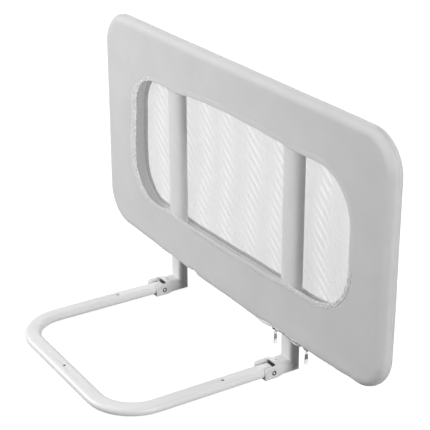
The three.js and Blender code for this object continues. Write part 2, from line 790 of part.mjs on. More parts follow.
add('base_tube', baseTube(), powderCoat);
for (const [hand, side] of [['left', -1], ['right', 1]]) {
  const x = side * postPlace;
  add(`${hand}_hinge_insert`, hingeInsert(), whitePlastic, x);
  add(`${hand}_bracket`, bracket(), powderCoat, x);
  add(`${hand}_hinge_pin`, hingePin(), brightSteel, x);
  add(`${hand}_bracket_rivet`, rivet(), brightSteel, x);
  add(`${hand}_upright_tube`, uprightTube(), powderCoat, x);
  add(`${hand}_upright_sleeve`, foamSleeve(), whiteFoam, x);
  add(`${hand}_lower_connector`, connector(1), whitePlastic, x, 0, lowerRail);
  add(`${hand}_upper_connector`, connector(-1), whitePlastic, x, 0, upperRail);
  add(`${hand}_side_rail`, sideRail(side), powderCoat);
}
add('top_rail', middleRail(), powderCoat, 0, 0, upperRail);
add('bottom_rail', middleRail(), powderCoat, 0, 0, lowerRail);
for (const [face, side] of [['front', -1], ['back', 1]]) {
  add(`cover_${face}`, coverHalf(side), greyFabric);
  add(`window_binding_${face}`, windowBinding(side), greyFabric);
  add(`window_net_${face}`, windowNet(side), whiteNet);
  add(`zip_row_${face}`, zipRow(side), brightSteel);
}
const leftChainEnd = leftSliderPlace + sliderLength / 4;
const rightChainStart = rightSliderPlace - sliderLength / 4;
add('zip_chain_left', zipStrip(zipStart, leftChainEnd), brightSteel, 0, 0, hemAt(0));
add('zip_chain_right', onHem(zipStrip(rightChainStart - zipEnd, 0), zipEnd), brightSteel);
add('zip_stop_left', zipStrip(-zipStopLength, 0), brightSteel, zipStart - seatGap, 0, hemAt(zipStart));
add('zip_stop_right', onHem(zipStrip(seatGap, seatGap + zipStopLength), zipEnd), brightSteel);
add('left_slider', onHem(slider(1), leftSliderPlace), brightSteel);
add('right_slider', onHem(slider(-1), rightSliderPlace), brightSteel);
add('left_pull', onHem(pull(), leftSliderPlace), brightSteel);
add('right_pull', onHem(pull(), rightSliderPlace), brightSteel);

// The origin moves to the middle of the footprint, on the surface that the brackets stand on
const reachBehind = panelHalf + bindingProud;
guardRail.position.set(0, (baseReach + ovalWidth / 2 - reachBehind) / 2, legBelow);

export default guardRail;
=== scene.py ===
import math

import bpy
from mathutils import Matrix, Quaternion, Vector, noise


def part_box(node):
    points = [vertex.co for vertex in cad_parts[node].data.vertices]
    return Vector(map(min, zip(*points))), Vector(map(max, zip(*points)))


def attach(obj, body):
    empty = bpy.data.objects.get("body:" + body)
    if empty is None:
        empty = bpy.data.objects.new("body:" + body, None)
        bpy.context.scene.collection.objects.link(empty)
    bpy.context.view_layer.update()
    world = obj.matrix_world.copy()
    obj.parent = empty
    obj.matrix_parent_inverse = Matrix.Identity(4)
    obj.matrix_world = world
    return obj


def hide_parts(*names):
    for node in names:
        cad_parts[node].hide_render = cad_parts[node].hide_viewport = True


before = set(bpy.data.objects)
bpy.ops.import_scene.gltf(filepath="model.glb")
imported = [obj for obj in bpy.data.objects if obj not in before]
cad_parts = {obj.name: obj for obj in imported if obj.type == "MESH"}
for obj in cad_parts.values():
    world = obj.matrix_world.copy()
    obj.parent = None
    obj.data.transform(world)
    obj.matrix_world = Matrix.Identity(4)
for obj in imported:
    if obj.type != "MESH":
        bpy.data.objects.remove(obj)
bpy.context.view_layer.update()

# Camera and studio. A long lens looks down on the guard from the mattress side, past its right end. A large soft
# lamp stands on each side of the panel, a weak one is hung over it, and a narrow one far to the right only catches
# its end. The floor is pale, and keeps a faint shadow.
MM = 0.001
PHOTO_PIXELS = 430
FOCAL_PIXELS = 1270.6
SENSOR = 36.0
CAMERA_PLACE = Vector((1.7592, -0.9612, 1.1238))
CAMERA_AZIMUTH = math.radians(58.045)
CAMERA_ELEVATION = math.radians(23.331)
CAMERA_ROLL = math.radians(-0.166)


def feed(tree, sockets, inputs):
    """Gives each named socket its value, or links it to what feeds it."""
    for name, value in inputs.items():
        if isinstance(value, bpy.types.NodeSocket):
            tree.links.new(value, sockets[name])
        else:
            sockets[name].default_value = value


def add_node(tree, kind, inputs=None, **settings):
    """A shader node with its settings and what feeds it."""
    made = tree.nodes.new(kind)
    for name, value in settings.items():
        setattr(made, name, value)
    feed(tree, made.inputs, inputs or {})
    return made


def maths(tree, operation, *values):
    """What a sum makes of plain values and sockets."""
    return add_node(tree, "ShaderNodeMath", dict(enumerate(values)), operation=operation).outputs[0]


def vector_maths(tree, operation, *vectors, **inputs):
    """What a sum makes of vectors: a plain value for a dot product or a length."""
    made = add_node(tree, "ShaderNodeVectorMath", {**dict(enumerate(vectors)), **inputs}, operation=operation)
    return made.outputs["Value" if operation in ("DOT_PRODUCT", "LENGTH") else "Vector"]


def remap(tree, value, low=0.0, high=1.0, new_low=0.0, new_high=1.0):
    """A value moved from one range to another, and kept inside it."""
    return add_node(tree, "ShaderNodeMapRange", {"Value": value, "From Min": low, "From Max": high,
                                                 "To Min": new_low, "To Max": new_high}).outputs[0]


def seen_plainly(tree):
    """1 for a ray from the camera, or by way of metal or glass, and 0 for light on its way round."""
    path = add_node(tree, "ShaderNodeLightPath").outputs
    direct = maths(tree, "MAXIMUM", path["Is Camera Ray"], path["Is Glossy Ray"])
    return maths(tree, "MAXIMUM", direct, path["Is Transmission Ray"])


def grey(level):
    """A neutral colour, from its level as the eye sees it."""
    linear = ((level + 0.055) / 1.055) ** 2.4
    return (linear, linear, linear, 1.0)


def mixed(tree, factor, near, far, **settings):
    """A colour on the way from one to another."""
    inputs = {"Factor": factor, 6: near, 7: far}
    return add_node(tree, "ShaderNodeMix", inputs, data_type="RGBA", **settings).outputs[2]


def put_in_scene(piece, place=None, turn=None):
    """Links an object to the scene, and places and turns it."""
    bpy.context.scene.collection.objects.link(piece)
    if place:
        piece.location = place
        piece.rotation_mode = "QUATERNION"
        piece.rotation_quaternion = turn


camera_data = bpy.data.cameras.new("camera")
camera_data.sensor_width = SENSOR
camera_data.lens = FOCAL_PIXELS / PHOTO_PIXELS * SENSOR
camera = bpy.data.objects.new("camera", camera_data)
camera_back = Vector((
    math.sin(CAMERA_AZIMUTH) * math.cos(CAMERA_ELEVATION),
    -math.cos(CAMERA_AZIMUTH) * math.cos(CAMERA_ELEVATION),
    math.sin(CAMERA_ELEVATION),
))
put_in_scene(camera, CAMERA_PLACE,
             Quaternion(camera_back, CAMERA_ROLL) @ (-camera_back).to_track_quat("-Z", "Y"))
bpy.context.scene.camera = camera

PANEL_MIDDLE = Vector((0.0, 0.17, 0.28))
LAMPS = {
    # name: (place, width, height, watts)
    "key_lamp": ((-1.8, -1.9, 1.3), 1.4, 1.4, 73.0),
    "top_lamp": ((0.1, -0.6, 1.15), 0.9, 0.4, 2.0),
    "end_lamp": ((4.5, 0.17, 1.9), 0.5, 1.0, 172.0),
    "back_lamp": ((-1.3, 2.7, 1.3), 1.4, 1.4, 62.0),
}
for lamp_name, (place, width, height, watts) in LAMPS.items():
    lamp = bpy.data.lights.new(lamp_name, "AREA")
    lamp.shape = "RECTANGLE"
    lamp.size, lamp.size_y, lamp.energy = width, height, watts
    put_in_scene(bpy.data.objects.new(lamp_name, lamp), place,
                 (PANEL_MIDDLE - Vector(place)).to_track_quat("-Z", "Y"))

AMBIENT_BRIGHT = 0.44
AMBIENT_DARK = 0.01
BRIGHT_WAY = Vector((-0.66, -0.58, 0.48))
world = bpy.data.worlds.new("studio")
world.use_nodes = True
bpy.context.scene.world = world
room = world.node_tree
room.nodes.clear()
way = add_node(room, "ShaderNodeTexCoord").outputs["Generated"]
toward = vector_maths(room, "DOT_PRODUCT", way, BRIGHT_WAY)
ambient = remap(room, toward, -0.3, 1.0, AMBIENT_DARK, AMBIENT_BRIGHT)
strength = remap(room, seen_plainly(room), new_low=ambient)
sky = add_node(room, "ShaderNodeBackground", {"Color": (1, 1, 1, 1), "Strength": strength})
add_node(room, "ShaderNodeOutputWorld", {"Surface": sky.outputs[0]})

bpy.context.scene.view_settings.view_transform = "Standard"

FLOOR_HALF = 30.0
FLOOR_DROP = 0.0004
FLOOR_GLOW_SHARE = 0.80
FLOOR_GLOW = 1.16
FLOOR_BOUNCE = 0.48
floor_mesh = bpy.data.meshes.new("floor")
floor_corners = [(x * FLOOR_HALF, y * FLOOR_HALF, -FLOOR_DROP) for x, y in ((-1, -1), (1, -1), (1, 1), (-1, 1))]
floor_mesh.from_pydata(floor_corners, [], [(0, 1, 2, 3)])
floor = bpy.data.objects.new("floor", floor_mesh)
put_in_scene(floor)
floor_paint = bpy.data.materials.new("pale_floor")
floor_paint.use_nodes = True
tree = floor_paint.node_tree
tree.nodes.clear()
plain = seen_plainly(tree)
shade = mixed(tree, plain, grey(FLOOR_BOUNCE), grey(1.0))
matt = add_node(tree, "ShaderNodeBsdfDiffuse", {"Color": shade})
glow = add_node(tree, "ShaderNodeEmission", {"Color": (1, 1, 1, 1), "Strength": FLOOR_GLOW})
share = maths(tree, "MULTIPLY", plain, FLOOR_GLOW_SHARE)
lit = add_node(tree, "ShaderNodeMixShader", {0: share, 1: matt.outputs[0], 2: glow.outputs[0]})
add_node(tree, "ShaderNodeOutputMaterial", {"Surface": lit.outputs[0]})
floor_mesh.materials.append(floor_paint)


# Base. One length of flat-oval steel tube, bent to a U that lies under the mattress and drilled for three screws.
# It is powder coated white, and each open end holds a moulded insert that the hinge pin turns in.
def new_group(name, inputs, outputs):
    """An empty shader node group, with the sockets that feed it, first Vector, and those it fills."""
    group = bpy.data.node_groups.new(name, "ShaderNodeTree")
    for socket, default in {"Vector": (0, 0, 0), **inputs}.items():
        kind = "Float" if isinstance(default, float) else "Vector"
        made = group.interface.new_socket(socket, in_out="INPUT", socket_type="NodeSocket" + kind)
        made.default_value = default
    for socket in outputs:
        group.interface.new_socket(socket, in_out="OUTPUT", socket_type="NodeSocketFloat")
    return group, add_node(group, "NodeGroupInput").outputs, add_node(group, "NodeGroupOutput").inputs


def place_group(tree, group, inputs):
    """One use of a node group, with its own values."""
    return add_node(tree, "ShaderNodeGroup", inputs, node_tree=group).outputs


def new_material(name, level, roughness, **shader_values):
    """A material with its Principled shader, and the points that its patterns are drawn on."""
    material = bpy.data.materials.new(name)
    material.use_nodes = True
    tree = material.node_tree
    shader = tree.nodes["Principled BSDF"].inputs
    feed(tree, shader, {"Base Color": grey(level), "Roughness": roughness})
    feed(tree, shader, {socket.replace("_", " "): value for socket, value in shader_values.items()})
    return material, tree, shader, add_node(tree, "ShaderNodeTexCoord").outputs


def patches(tree, points, per_metre, detail=1.0, uneven=0.5):
    """Random patches, from 0 to 1."""
    inputs = {"Vector": points, "Scale": per_metre, "Detail": detail, "Roughness": uneven}
    return add_node(tree, "ShaderNodeTexNoise", inputs).outputs["Fac"]


def bumps(tree, height, depth, **under):
    """The way a surface faces that stands out by a height."""
    inputs = {"Height": height, "Strength": 1.0, "Distance": depth, **under}
    return add_node(tree, "ShaderNodeBump", inputs).outputs[0]


# soft change of tone over a surface, as paint and cloth have from place to place
tone_drift, fed, filled = new_group("tone_drift", {"Per Metre": 12.0, "Amount": 0.04}, ["Tone"])
spread = patches(tone_drift, fed["Vector"], fed["Per Metre"], 3.0, 0.55)
low_tone = maths(tone_drift, "SUBTRACT", 1.0, fed["Amount"])
high_tone = maths(tone_drift, "ADD", 1.0, fed["Amount"])
feed(tone_drift, filled, {"Tone": remap(tone_drift, spread, 0.3, 0.7, low_tone, high_tone)})

# the edges of a hard piece, in broken patches: painted edge light, a painted highlight where a finish is lightened
# there and painted shade where it is darkened
painted_edge_light, fed, filled = new_group("painted_edge_light", {"Radius": 0.0008, "Breaks": 240.0}, ["Mask"])
rounded = add_node(painted_edge_light, "ShaderNodeBevel", {"Radius": fed["Radius"]}, samples=4).outputs[0]
facing = add_node(painted_edge_light, "ShaderNodeNewGeometry").outputs["Normal"]
rim = remap(painted_edge_light, vector_maths(painted_edge_light, "DOT_PRODUCT", rounded, facing), 0.995, 0.93)
broken = remap(painted_edge_light, patches(painted_edge_light, fed["Vector"], fed["Breaks"], 2.0), 0.38, 0.62)
feed(painted_edge_light, filled, {"Mask": maths(painted_edge_light, "MULTIPLY", rim, broken)})

# fine grain in two sizes: the orange peel of powder coat, or the texture of a mould
fine_grain, fed, filled = new_group("fine_grain", {"Per Metre": 700.0}, ["Height"])
coarse = patches(fine_grain, fed["Vector"], fed["Per Metre"])
fine = patches(fine_grain, fed["Vector"], maths(fine_grain, "MULTIPLY", fed["Per Metre"], 2.7))
feed(fine_grain, filled, {"Height": maths(fine_grain, "MULTIPLY_ADD", fine, 0.4, coarse)})


def times(tree, colour, tone):
    """A colour, lightened or darkened by a tone."""
    return mixed(tree, 1.0, colour, tone, blend_type="MULTIPLY")


def uneven_tone(tree, points, per_metre, amount, tone):
    """A tone that drifts by some amount from place to place."""
    inputs = {"Vector": points["Object"], "Per Metre": per_metre, "Amount": amount}
    return maths(tree, "MULTIPLY", place_group(tree, tone_drift, inputs)["Tone"], tone)


def grain(tree, points, per_metre):
    """The height of a fine grain."""
    return place_group(tree, fine_grain, {"Vector": points, "Per Metre": per_metre})["Height"]


def hard_finish(name, level, roughness, grain_size, grain_depth, edge_light_tone):
    """Powder coat or moulded plastic: uneven in tone, with a fine grain, and its edges painted lighter or darker
    as painted edge light.
    """
    material, tree, shader, points = new_material(name, level, roughness)
    edge_light = place_group(tree, painted_edge_light, {"Vector": points["Object"]})["Mask"]
    tone = uneven_tone(tree, points, 9.0, 0.018, remap(tree, edge_light, new_low=1.0, new_high=edge_light_tone))
    feed(tree, shader, {
        "Base Color": times(tree, grey(level), tone),
        "Roughness": uneven_tone(tree, points, 60.0, 0.12, roughness),
        "Normal": bumps(tree, grain(tree, points["Object"], 1 / grain_size), grain_depth),
    })
    return material


# normals run on over the low edges of a softened piece, and stop at its sharp ones
SMOOTH_ANGLE = math.radians(38)
smooth_low_edges = bpy.data.node_groups.new("smooth_low_edges", "GeometryNodeTree")
for in_or_out in ("INPUT", "OUTPUT"):
    smooth_low_edges.interface.new_socket("Geometry", in_out=in_or_out, socket_type="NodeSocketGeometry")
came = add_node(smooth_low_edges, "NodeGroupInput").outputs[0]
bend = add_node(smooth_low_edges, "GeometryNodeInputMeshEdgeAngle").outputs["Unsigned Angle"]
low = add_node(smooth_low_edges, "FunctionNodeCompare", {0: bend, 1: SMOOTH_ANGLE}, data_type="FLOAT",
               operation="LESS_THAN").outputs[0]
edges = add_node(smooth_low_edges, "GeometryNodeSetShadeSmooth", {"Geometry": came, "Shade Smooth": low},
                 domain="EDGE").outputs[0]
faces = add_node(smooth_low_edges, "GeometryNodeSetShadeSmooth", {"Geometry": edges}, domain="FACE").outputs[0]
add_node(smooth_low_edges, "NodeGroupOutput", {0: faces})


def both(*names):
    """The left and the right piece of each name."""
    return [f"{hand}_{name}" for name in names for hand in ("left", "right")]


def soften(names, material, rounding):
    """Rounds the sharp edges of the frame's pieces and gives them a finish."""
    for name in names:
        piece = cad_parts[name]
        piece.data.materials.clear()
        piece.data.materials.append(material)
        piece.modifiers.new("weld", "WELD").merge_threshold = 0.001 * MM
        flat = piece.modifiers.new("flat_faces", "DECIMATE")
        flat.decimate_type = "DISSOLVE"
        flat.angle_limit = math.radians(0.6)
        rounds = piece.modifiers.new("rounded_edges", "BEVEL")
        rounds.width = rounding
        rounds.segments = 2
        rounds.limit_method = "ANGLE"
        rounds.angle_limit = SMOOTH_ANGLE
        piece.modifiers.new("smooth_low_edges", "NODES").node_group = smooth_low_edges


white_coat = hard_finish("white_powder_coat", 0.85, 0.42, 1.5 * MM, 0.035 * MM, 0.97)
soften(["base_tube"], white_coat, 0.25 * MM)
white_moulding = hard_finish("white_moulded_plastic", 0.89, 0.5, 0.5 * MM, 0.02 * MM, 1.03)
soften(both("hinge_insert"), white_moulding, 0.3 * MM)

# Elbow brackets. Each is a hollow welded steel post and leg, powder coated as the base is, with two ears that
# straddle the base tube and a slot over it, so that the panel can fold down.
PIN_RECESS_SHADE_RADIUS = 4.8 * MM
# painted shade: the brackets have the base's powder coat, painted a little darker (0.815 against 0.85) for the
# shade they stand in under the panel
bracket_coat_painted_shade = hard_finish("bracket_powder_coat_painted_shade", 0.815, 0.42, 1.5 * MM, 0.035 * MM, 0.97)
soften(both("bracket"), bracket_coat_painted_shade, 0.6 * MM)

# a disc about an axis that runs along X, in the piece's own coordinates
axis_disc, fed, filled = new_group("axis_disc", {"Centre": (0, 0, 0), "Radius": 0.004}, ["Mask"])
from_centre = vector_maths(axis_disc, "SUBTRACT", fed["Vector"], fed["Centre"])
in_plane = vector_maths(axis_disc, "MULTIPLY", from_centre, (0, 1, 1))
away = vector_maths(axis_disc, "LENGTH", in_plane)
inner_edge = maths(axis_disc, "MULTIPLY", fed["Radius"], 0.9)
feed(axis_disc, filled, {"Mask": remap(axis_disc, away, inner_edge, fed["Radius"], 1.0, 0.0)})

pin_low, pin_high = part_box("left_hinge_pin")


def pin_centre_in(name):
    """The middle of the left hinge pin in a piece's own coordinates."""
    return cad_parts[name].matrix_world.inverted() @ ((pin_low + pin_high) / 2)


def tone_within(material, group, inputs, tone):
    """Paints shade into a material's colour within a node group's mask, or light where the tone is over 1."""
    tree = material.node_tree
    colour = tree.nodes["Principled BSDF"].inputs["Base Color"]
    points = add_node(tree, "ShaderNodeTexCoord").outputs["Object"]
    mask = place_group(tree, group, {"Vector": points, **inputs})["Mask"]
    shade = remap(tree, mask, new_low=1.0, new_high=tone)
    tree.links.new(times(tree, colour.links[0].from_socket, shade), colour)


# painted shade: the recess round each pin end, a disc about the pin's axis, is painted nearly black on both
# brackets, for the shadow in it
tone_within(bracket_coat_painted_shade, axis_disc, {"Centre": pin_centre_in("left_bracket"), "Radius": PIN_RECESS_SHADE_RADIUS}, 0.12)


# Hinge pins and elbow rivets. Turned steel pins go through the ears and the base tube's ends, with a dimple
# pressed in each end. A domed rivet closes the top of each elbow.
def bright_metal(name, level, roughness, scratch_size, scratch_depth):
    """Plated steel, with fine scratches that run along the piece, and painted shade that darkens it where it turns
    away from the view.
    """
    material, tree, shader, points = new_material(name, level, roughness, Metallic=1.0)
    # painted shade: the colour darkens to a quarter where the surface turns away from the view
    turned = add_node(tree, "ShaderNodeLayerWeight", {"Blend": 0.5}).outputs["Facing"]
    tone = uneven_tone(tree, points, 180.0, 0.06, remap(tree, turned, 0.25, 0.9, 1.0, 0.25))
    drawn = add_node(tree, "ShaderNodeMapping", {"Vector": points["Object"], "Scale": (1.0, 1.0, 0.12)}).outputs[0]
    feed(tree, shader, {
        "Base Color": times(tree, grey(level), tone),
        "Roughness": uneven_tone(tree, points, 400.0, 0.3, roughness),
        "Normal": bumps(tree, grain(tree, drawn, 1 / scratch_size), scratch_depth),
    })
    return material


# painted shade and light: the pins are painted dark (0.30, against the rivets' 0.86) for the shadowed groove round
# each pin end, and the middle of each end is painted light again
PIN_PAINTED_LIGHT_RADIUS = 2.1 * MM
plated_steel = bright_metal("plated_steel", 0.86, 0.28, 0.6 * MM, 0.01 * MM)
pin_steel_painted_shade = bright_metal("pin_steel_painted_shade", 0.30, 0.3, 0.6 * MM, 0.01 * MM)
soften(both("hinge_pin"), pin_steel_painted_shade, 0.2 * MM)
tone_within(pin_steel_painted_shade, axis_disc, {"Centre": pin_centre_in("left_hinge_pin"), "Radius": PIN_PAINTED_LIGHT_RADIUS}, 9.0)
soften(both("bracket_rivet"), plated_steel, 0.15 * MM)

# Panel frame and uprights. Round steel tubes joined by moulded connectors, and two flat-oval uprights that stand
# in the bracket posts. All of it is inside the cover.
soften(["top_rail", "bottom_rail", *both("side_rail", "upright_tube")], white_coat, 0.2 * MM)
soften(both("lower_connector", "upper_connector"), white_moulding, 0.5 * MM)

# Sleeves. A tube of soft foam in a white knitted skin is drawn over each upright, so that the steel isn't felt
# through the net. The skin is closed with one seam down the back.
SLEEVE_RINGS = 90
SLEEVE_SIDES = 72
SLEEVE_FULLNESS = 2.15
SLEEVE_SPREAD = 1.06
SLEEVE_GIRTH = 118 * MM
SLEEVE_END_ROUND = 5 * MM
SLEEVE_SEAM_DEPTH = 0.9 * MM
SLEEVE_SEAM_WIDTH = 2.2 * MM
SLEEVE_LUMP = 0.5 * MM
SLEEVE_PAINTED_GLOW = 0.05


def new_piece(name, points, faces, material, uvs=None):
    """A mesh piece with smooth faces."""
    mesh = bpy.data.meshes.new(name)
    mesh.from_pydata([tuple(point) for point in points], [], faces)
    mesh.polygons.foreach_set("use_smooth", [True] * len(mesh.polygons))
    mesh.materials.append(material)
    if uvs:
        layer = mesh.uv_layers.new(name="cloth")
        for loop in mesh.loops:
            layer.data[loop.index].uv = uvs[loop.vertex_index]
    mesh.update()
    piece = bpy.data.objects.new(name, mesh)
    put_in_scene(piece)
    return piece


def band_faces(rows, columns, wrapped=False, closed=False, turned=False, start=0):
    """Quads between rows of points. A wrapped row ends where it starts, and closed rows do too."""
    faces = []
    for row in range(rows if closed else rows - 1):
        near, far = start + row * columns, start + (row + 1) % rows * columns
        for column in range(columns if wrapped else columns - 1):
            after = (column + 1) % columns
            face = (near + column, near + after, far + after, far + column)
            faces.append(face[::-1] if turned else face)
    return faces


def shares(steps):
    """Equal shares of a whole, from 0 to 1."""
    return [step / steps for step in range(steps + 1)]


def oval_point(turn, width, depth):
    """A point on a full oval, and the way it faces."""
    across, deep = math.cos(2 * math.pi * turn), math.sin(2 * math.pi * turn)
    x = width / 2 * math.copysign(abs(across) ** (2 / SLEEVE_FULLNESS), across)
    y = depth / 2 * math.copysign(abs(deep) ** (2 / SLEEVE_FULLNESS), deep)
    face = Vector((math.copysign(abs(2 * x / width) ** (SLEEVE_FULLNESS - 1), x) / width,
                   math.copysign(abs(2 * y / depth) ** (SLEEVE_FULLNESS - 1), y) / depth)).normalized()
    return x, y, face.x, face.y


# threads that pass over and under each other, square to the cloth
plain_weave, fed, filled = new_group("plain_weave", {"Threads": 1600.0}, ["Height", "Gaps"])
turns = maths(plain_weave, "MULTIPLY", fed["Threads"], math.pi)
wound = vector_maths(plain_weave, "SCALE", fed["Vector"], Scale=turns)
parts = add_node(plain_weave, "ShaderNodeSeparateXYZ", {0: wound}).outputs
crossed = maths(plain_weave, "MULTIPLY", *(maths(plain_weave, "SINE", parts[way]) for way in (0, 1)))
thread = maths(plain_weave, "POWER", maths(plain_weave, "ABSOLUTE", crossed), 0.6)
feed(plain_weave, filled, {"Height": thread, "Gaps": remap(plain_weave, thread, 0.0, 0.35, 1.0, 0.0)})


def cloth_finish(name, level, threads, weave_depth, roughness=0.88, sheen=0.25, glow=0.0, **shader_values):
    """Woven or knitted cloth: its threads, a slow drift of tone, the soft sheen of its nap, and a faint painted
    glow, which stands in for the daylight that comes through it."""
    material, tree, shader, points = new_material(
        name, level, roughness, Sheen_Weight=sheen, Sheen_Roughness=0.45, Specular_IOR_Level=0.2,
        Emission_Color=grey(1.0), Emission_Strength=glow, **shader_values)
    weave = place_group(tree, plain_weave, {"Vector": points["UV"], "Threads": threads})
    tone = uneven_tone(tree, points, 14.0, 0.03, remap(tree, weave["Gaps"], new_low=1.0, new_high=0.9))
    woven = bumps(tree, weave["Height"], weave_depth)
    feed(tree, shader, {
        "Base Color": times(tree, grey(level), tone),
        "Roughness": uneven_tone(tree, points, 90.0, 0.05, roughness),
        "Normal": bumps(tree, grain(tree, points["Object"], 900.0), 0.04 * MM, Normal=woven),
    })
    return material


# painted light: the knit glows faintly, which lifts its shaded side
white_knit = cloth_finish("white_knit", 0.96, 1500.0, 0.12 * MM, glow=SLEEVE_PAINTED_GLOW, Subsurface_Weight=0.35,
                          Subsurface_Radius=(1.0, 1.0, 1.0), Subsurface_Scale=8 * MM)
for hand in ("left", "right"):
    low_corner, high_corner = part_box(f"{hand}_upright_sleeve")
    centre = (low_corner + high_corner) / 2
    width, depth = (high_corner.x - low_corner.x) * SLEEVE_SPREAD, high_corner.y - low_corner.y
    tall = high_corner.z - low_corner.z
    points, uvs = [], []
    ring_heights = [low_corner.z + tall * share for share in [0.0] + shares(SLEEVE_RINGS) + [1.0]]
    for ring, height in enumerate(ring_heights):
        capped = ring in (0, len(ring_heights) - 1)
        from_end = min(height - low_corner.z, high_corner.z - height)
        tuck = max(SLEEVE_END_ROUND - from_end, 0.0)
        inset = SLEEVE_END_ROUND - math.sqrt(SLEEVE_END_ROUND ** 2 - tuck ** 2)
        inset = min(inset, 0.8 * SLEEVE_END_ROUND) + (2 * MM if capped else 0.0)
        for share in shares(SLEEVE_SIDES)[:-1]:
            x, y, face_x, face_y = oval_point(share, width, depth)
            lump = noise.noise(Vector((x * 22 + centre.x * 40, y * 30, height * 13))) * SLEEVE_LUMP
            seam = SLEEVE_SEAM_DEPTH * math.exp(-(x / SLEEVE_SEAM_WIDTH) ** 2) if y > 0 else 0.0
            out = min(lump, 0.2 * MM) - inset - seam
            points.append((centre.x + x + face_x * out, centre.y + y + face_y * out, height))
            uvs.append((share * SLEEVE_GIRTH, height))
    faces = band_faces(len(ring_heights), SLEEVE_SIDES, wrapped=True)
    sleeve = new_piece(f"{hand}_foam_sleeve", points, faces, white_knit, uvs)
    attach(sleeve, "guard")
    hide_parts(f"{hand}_upright_sleeve")

# Cover. Two sheets of grey cloth, front and back, are drawn round the frame and sewn edge to edge with the seam
# turned in. Along the bottom the seam is left open for the zip and for the two posts.
EDGE_RADIUS = 14 * MM
CORNER_RADIUS = 70 * MM
PANEL_HEIGHT = 440 * MM
WINDOW_LEFT, WINDOW_RIGHT = -328 * MM, 356 * MM
WINDOW_LOW, WINDOW_HIGH = 160 * MM, 412 * MM
WINDOW_RADII = (105 * MM, 86 * MM, 75 * MM, 62 * MM)
LEFT_TAPE_EXTRA = 13 * MM
CLOTH_THICKNESS = 1.0 * MM
UNDER_BINDING = 6.5 * MM
BACKING_PAINTED_GLOW = 0.125
HOLLOW = 0.9 * MM
HOLLOW_REACH = 28 * MM
SEAM_DEPTH = 0.9 * MM
SEAM_WIDTH = 1.3 * MM
SEAM_OPEN_MOST = 0.997
SEAM_LEAN = 0.35 * MM
PUCKER, PUCKER_REACH = 0.25 * MM, 5 * MM
SLACK_REACH = 12 * MM
HEM_SPREAD = 90 * MM
LIP = 3 * MM
TAPE_WIDTH = 9 * MM
OUTLINE_STEPS = (252, 20, 40, 20, 100, 20, 40, 20)
FACE_RINGS = 16
EDGE_RINGS = 12
# height of the seam above the floor along the bottom, in millimetres: (x, height)
HEM_HEIGHTS = ((-380, 64.8), (-300, 62.4), (-225, 60), (-140, 56.8), (-126, 58), (-113, 60), (-100, 56.5),
               (-85, 56.2), (-40, 57.1), (0, 57.9), (40, 57.8), (80, 56.8), (112, 56.7), (150, 57.8),
               (229, 61.6), (270, 63.3), (330, 66), (380, 69.5), (420, 69.8))
# how far each half stands off the middle of the seam along the bottom, in millimetres: (x, distance)
FRONT_GAPS = ((-216, 0.2), (-205, 11.9), (-192, 12.8), (-150, 12.6), (-128, 12), (-114, 12.4), (-104, 11),
              (-94, 8.4), (-82, 7.6), (75, 7.6), (90, 9.2), (100, 11.1), (112, 12.9), (124, 13.7), (136, 13.95),
              (152, 13.95), (162, 13.8), (172, 13.4), (208, 13.4), (222, 13.2), (230, 11.8), (237, 9), (246, 3.1),
              (303, 3.1), (308, 0.2))
# how far the front window's edge strays from its plain outline, in millimetres: (x, rise) and (height, shift)
FRONT_WINDOW_TOP = ((-320, -4), (-265, -7), (-230, -5), (-180, -7), (-150, -4), (-120, 1), (-60, 4), (0, 5.5),
                    (90, 4), (160, 1.5), (200, -2), (225, -1), (260, 0))
FRONT_WINDOW_LOW = ((-330, 2), (-280, -3), (-240, -5), (-206, 0), (-170, -2.5), (-130, -3.5), (-95, -2),
                    (-30, -2.2), (20, -0.6), (80, 1.6), (140, 2.4), (178, 6.5), (235, 8.8), (280, 9), (310, 6),
                    (340, 0))
FRONT_WINDOW_SIDE = ((190, 1), (225, -3), (262, -3), (290, 1), (330, 4), (365, 3))
BACK_WINDOW_TOP = ((-300, -2), (-200, 1), (-60, 3), (80, 1), (190, 2), (300, -1))
BACK_WINDOW_LOW = ((-320, -4), (-265, -7), (-170, -9.6), (-125, -10.2), (-82, -9), (-30, -8.4), (0, -8),
                   (40, -5.9), (115, -5.1), (135, -4), (222, -3), (290, 0))
BACK_WINDOW_SIDE = ((190, 0), (260, -2), (340, 1))
BACK_GAPS = ((-214, 0.2), (-204, 11.4), (-165, 12), (-115, 11.4), (-98, 8.4), (-80, 7.6), (145, 7.6),
             (156, 9.6), (168, 12.4), (208, 12.4), (220, 9), (232, 3.1), (303, 3.1), (308, 0.2))
front_low, front_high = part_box("cover_front")
PANEL_PLANE = front_low.y + EDGE_RADIUS
PANEL_HALF_LENGTH = front_high.x
PANEL_TOP = front_high.z


def unevenness(*place):
    """A smooth random value, from about -0.5 to 0.5."""
    return noise.noise(Vector(place))


def held(value, low=0.0, high=1.0):
    """A value kept between two others."""
    return min(max(value, low), high)


def eased(share):
    """A share of the way that starts and ends slowly."""
    return share * share * (3 - 2 * share)


def read_off(table, x):
    """The value at x, in metres, eased between a table's entries, which are in millimetres."""
    place = x / MM
    if place <= table[0][0]:
        return table[0][1] * MM
    for (x_before, before), (x_after, after) in zip(table, table[1:]):
        if place <= x_after:
            return (before + (after - before) * eased((place - x_before) / (x_after - x_before))) * MM
    return table[-1][1] * MM


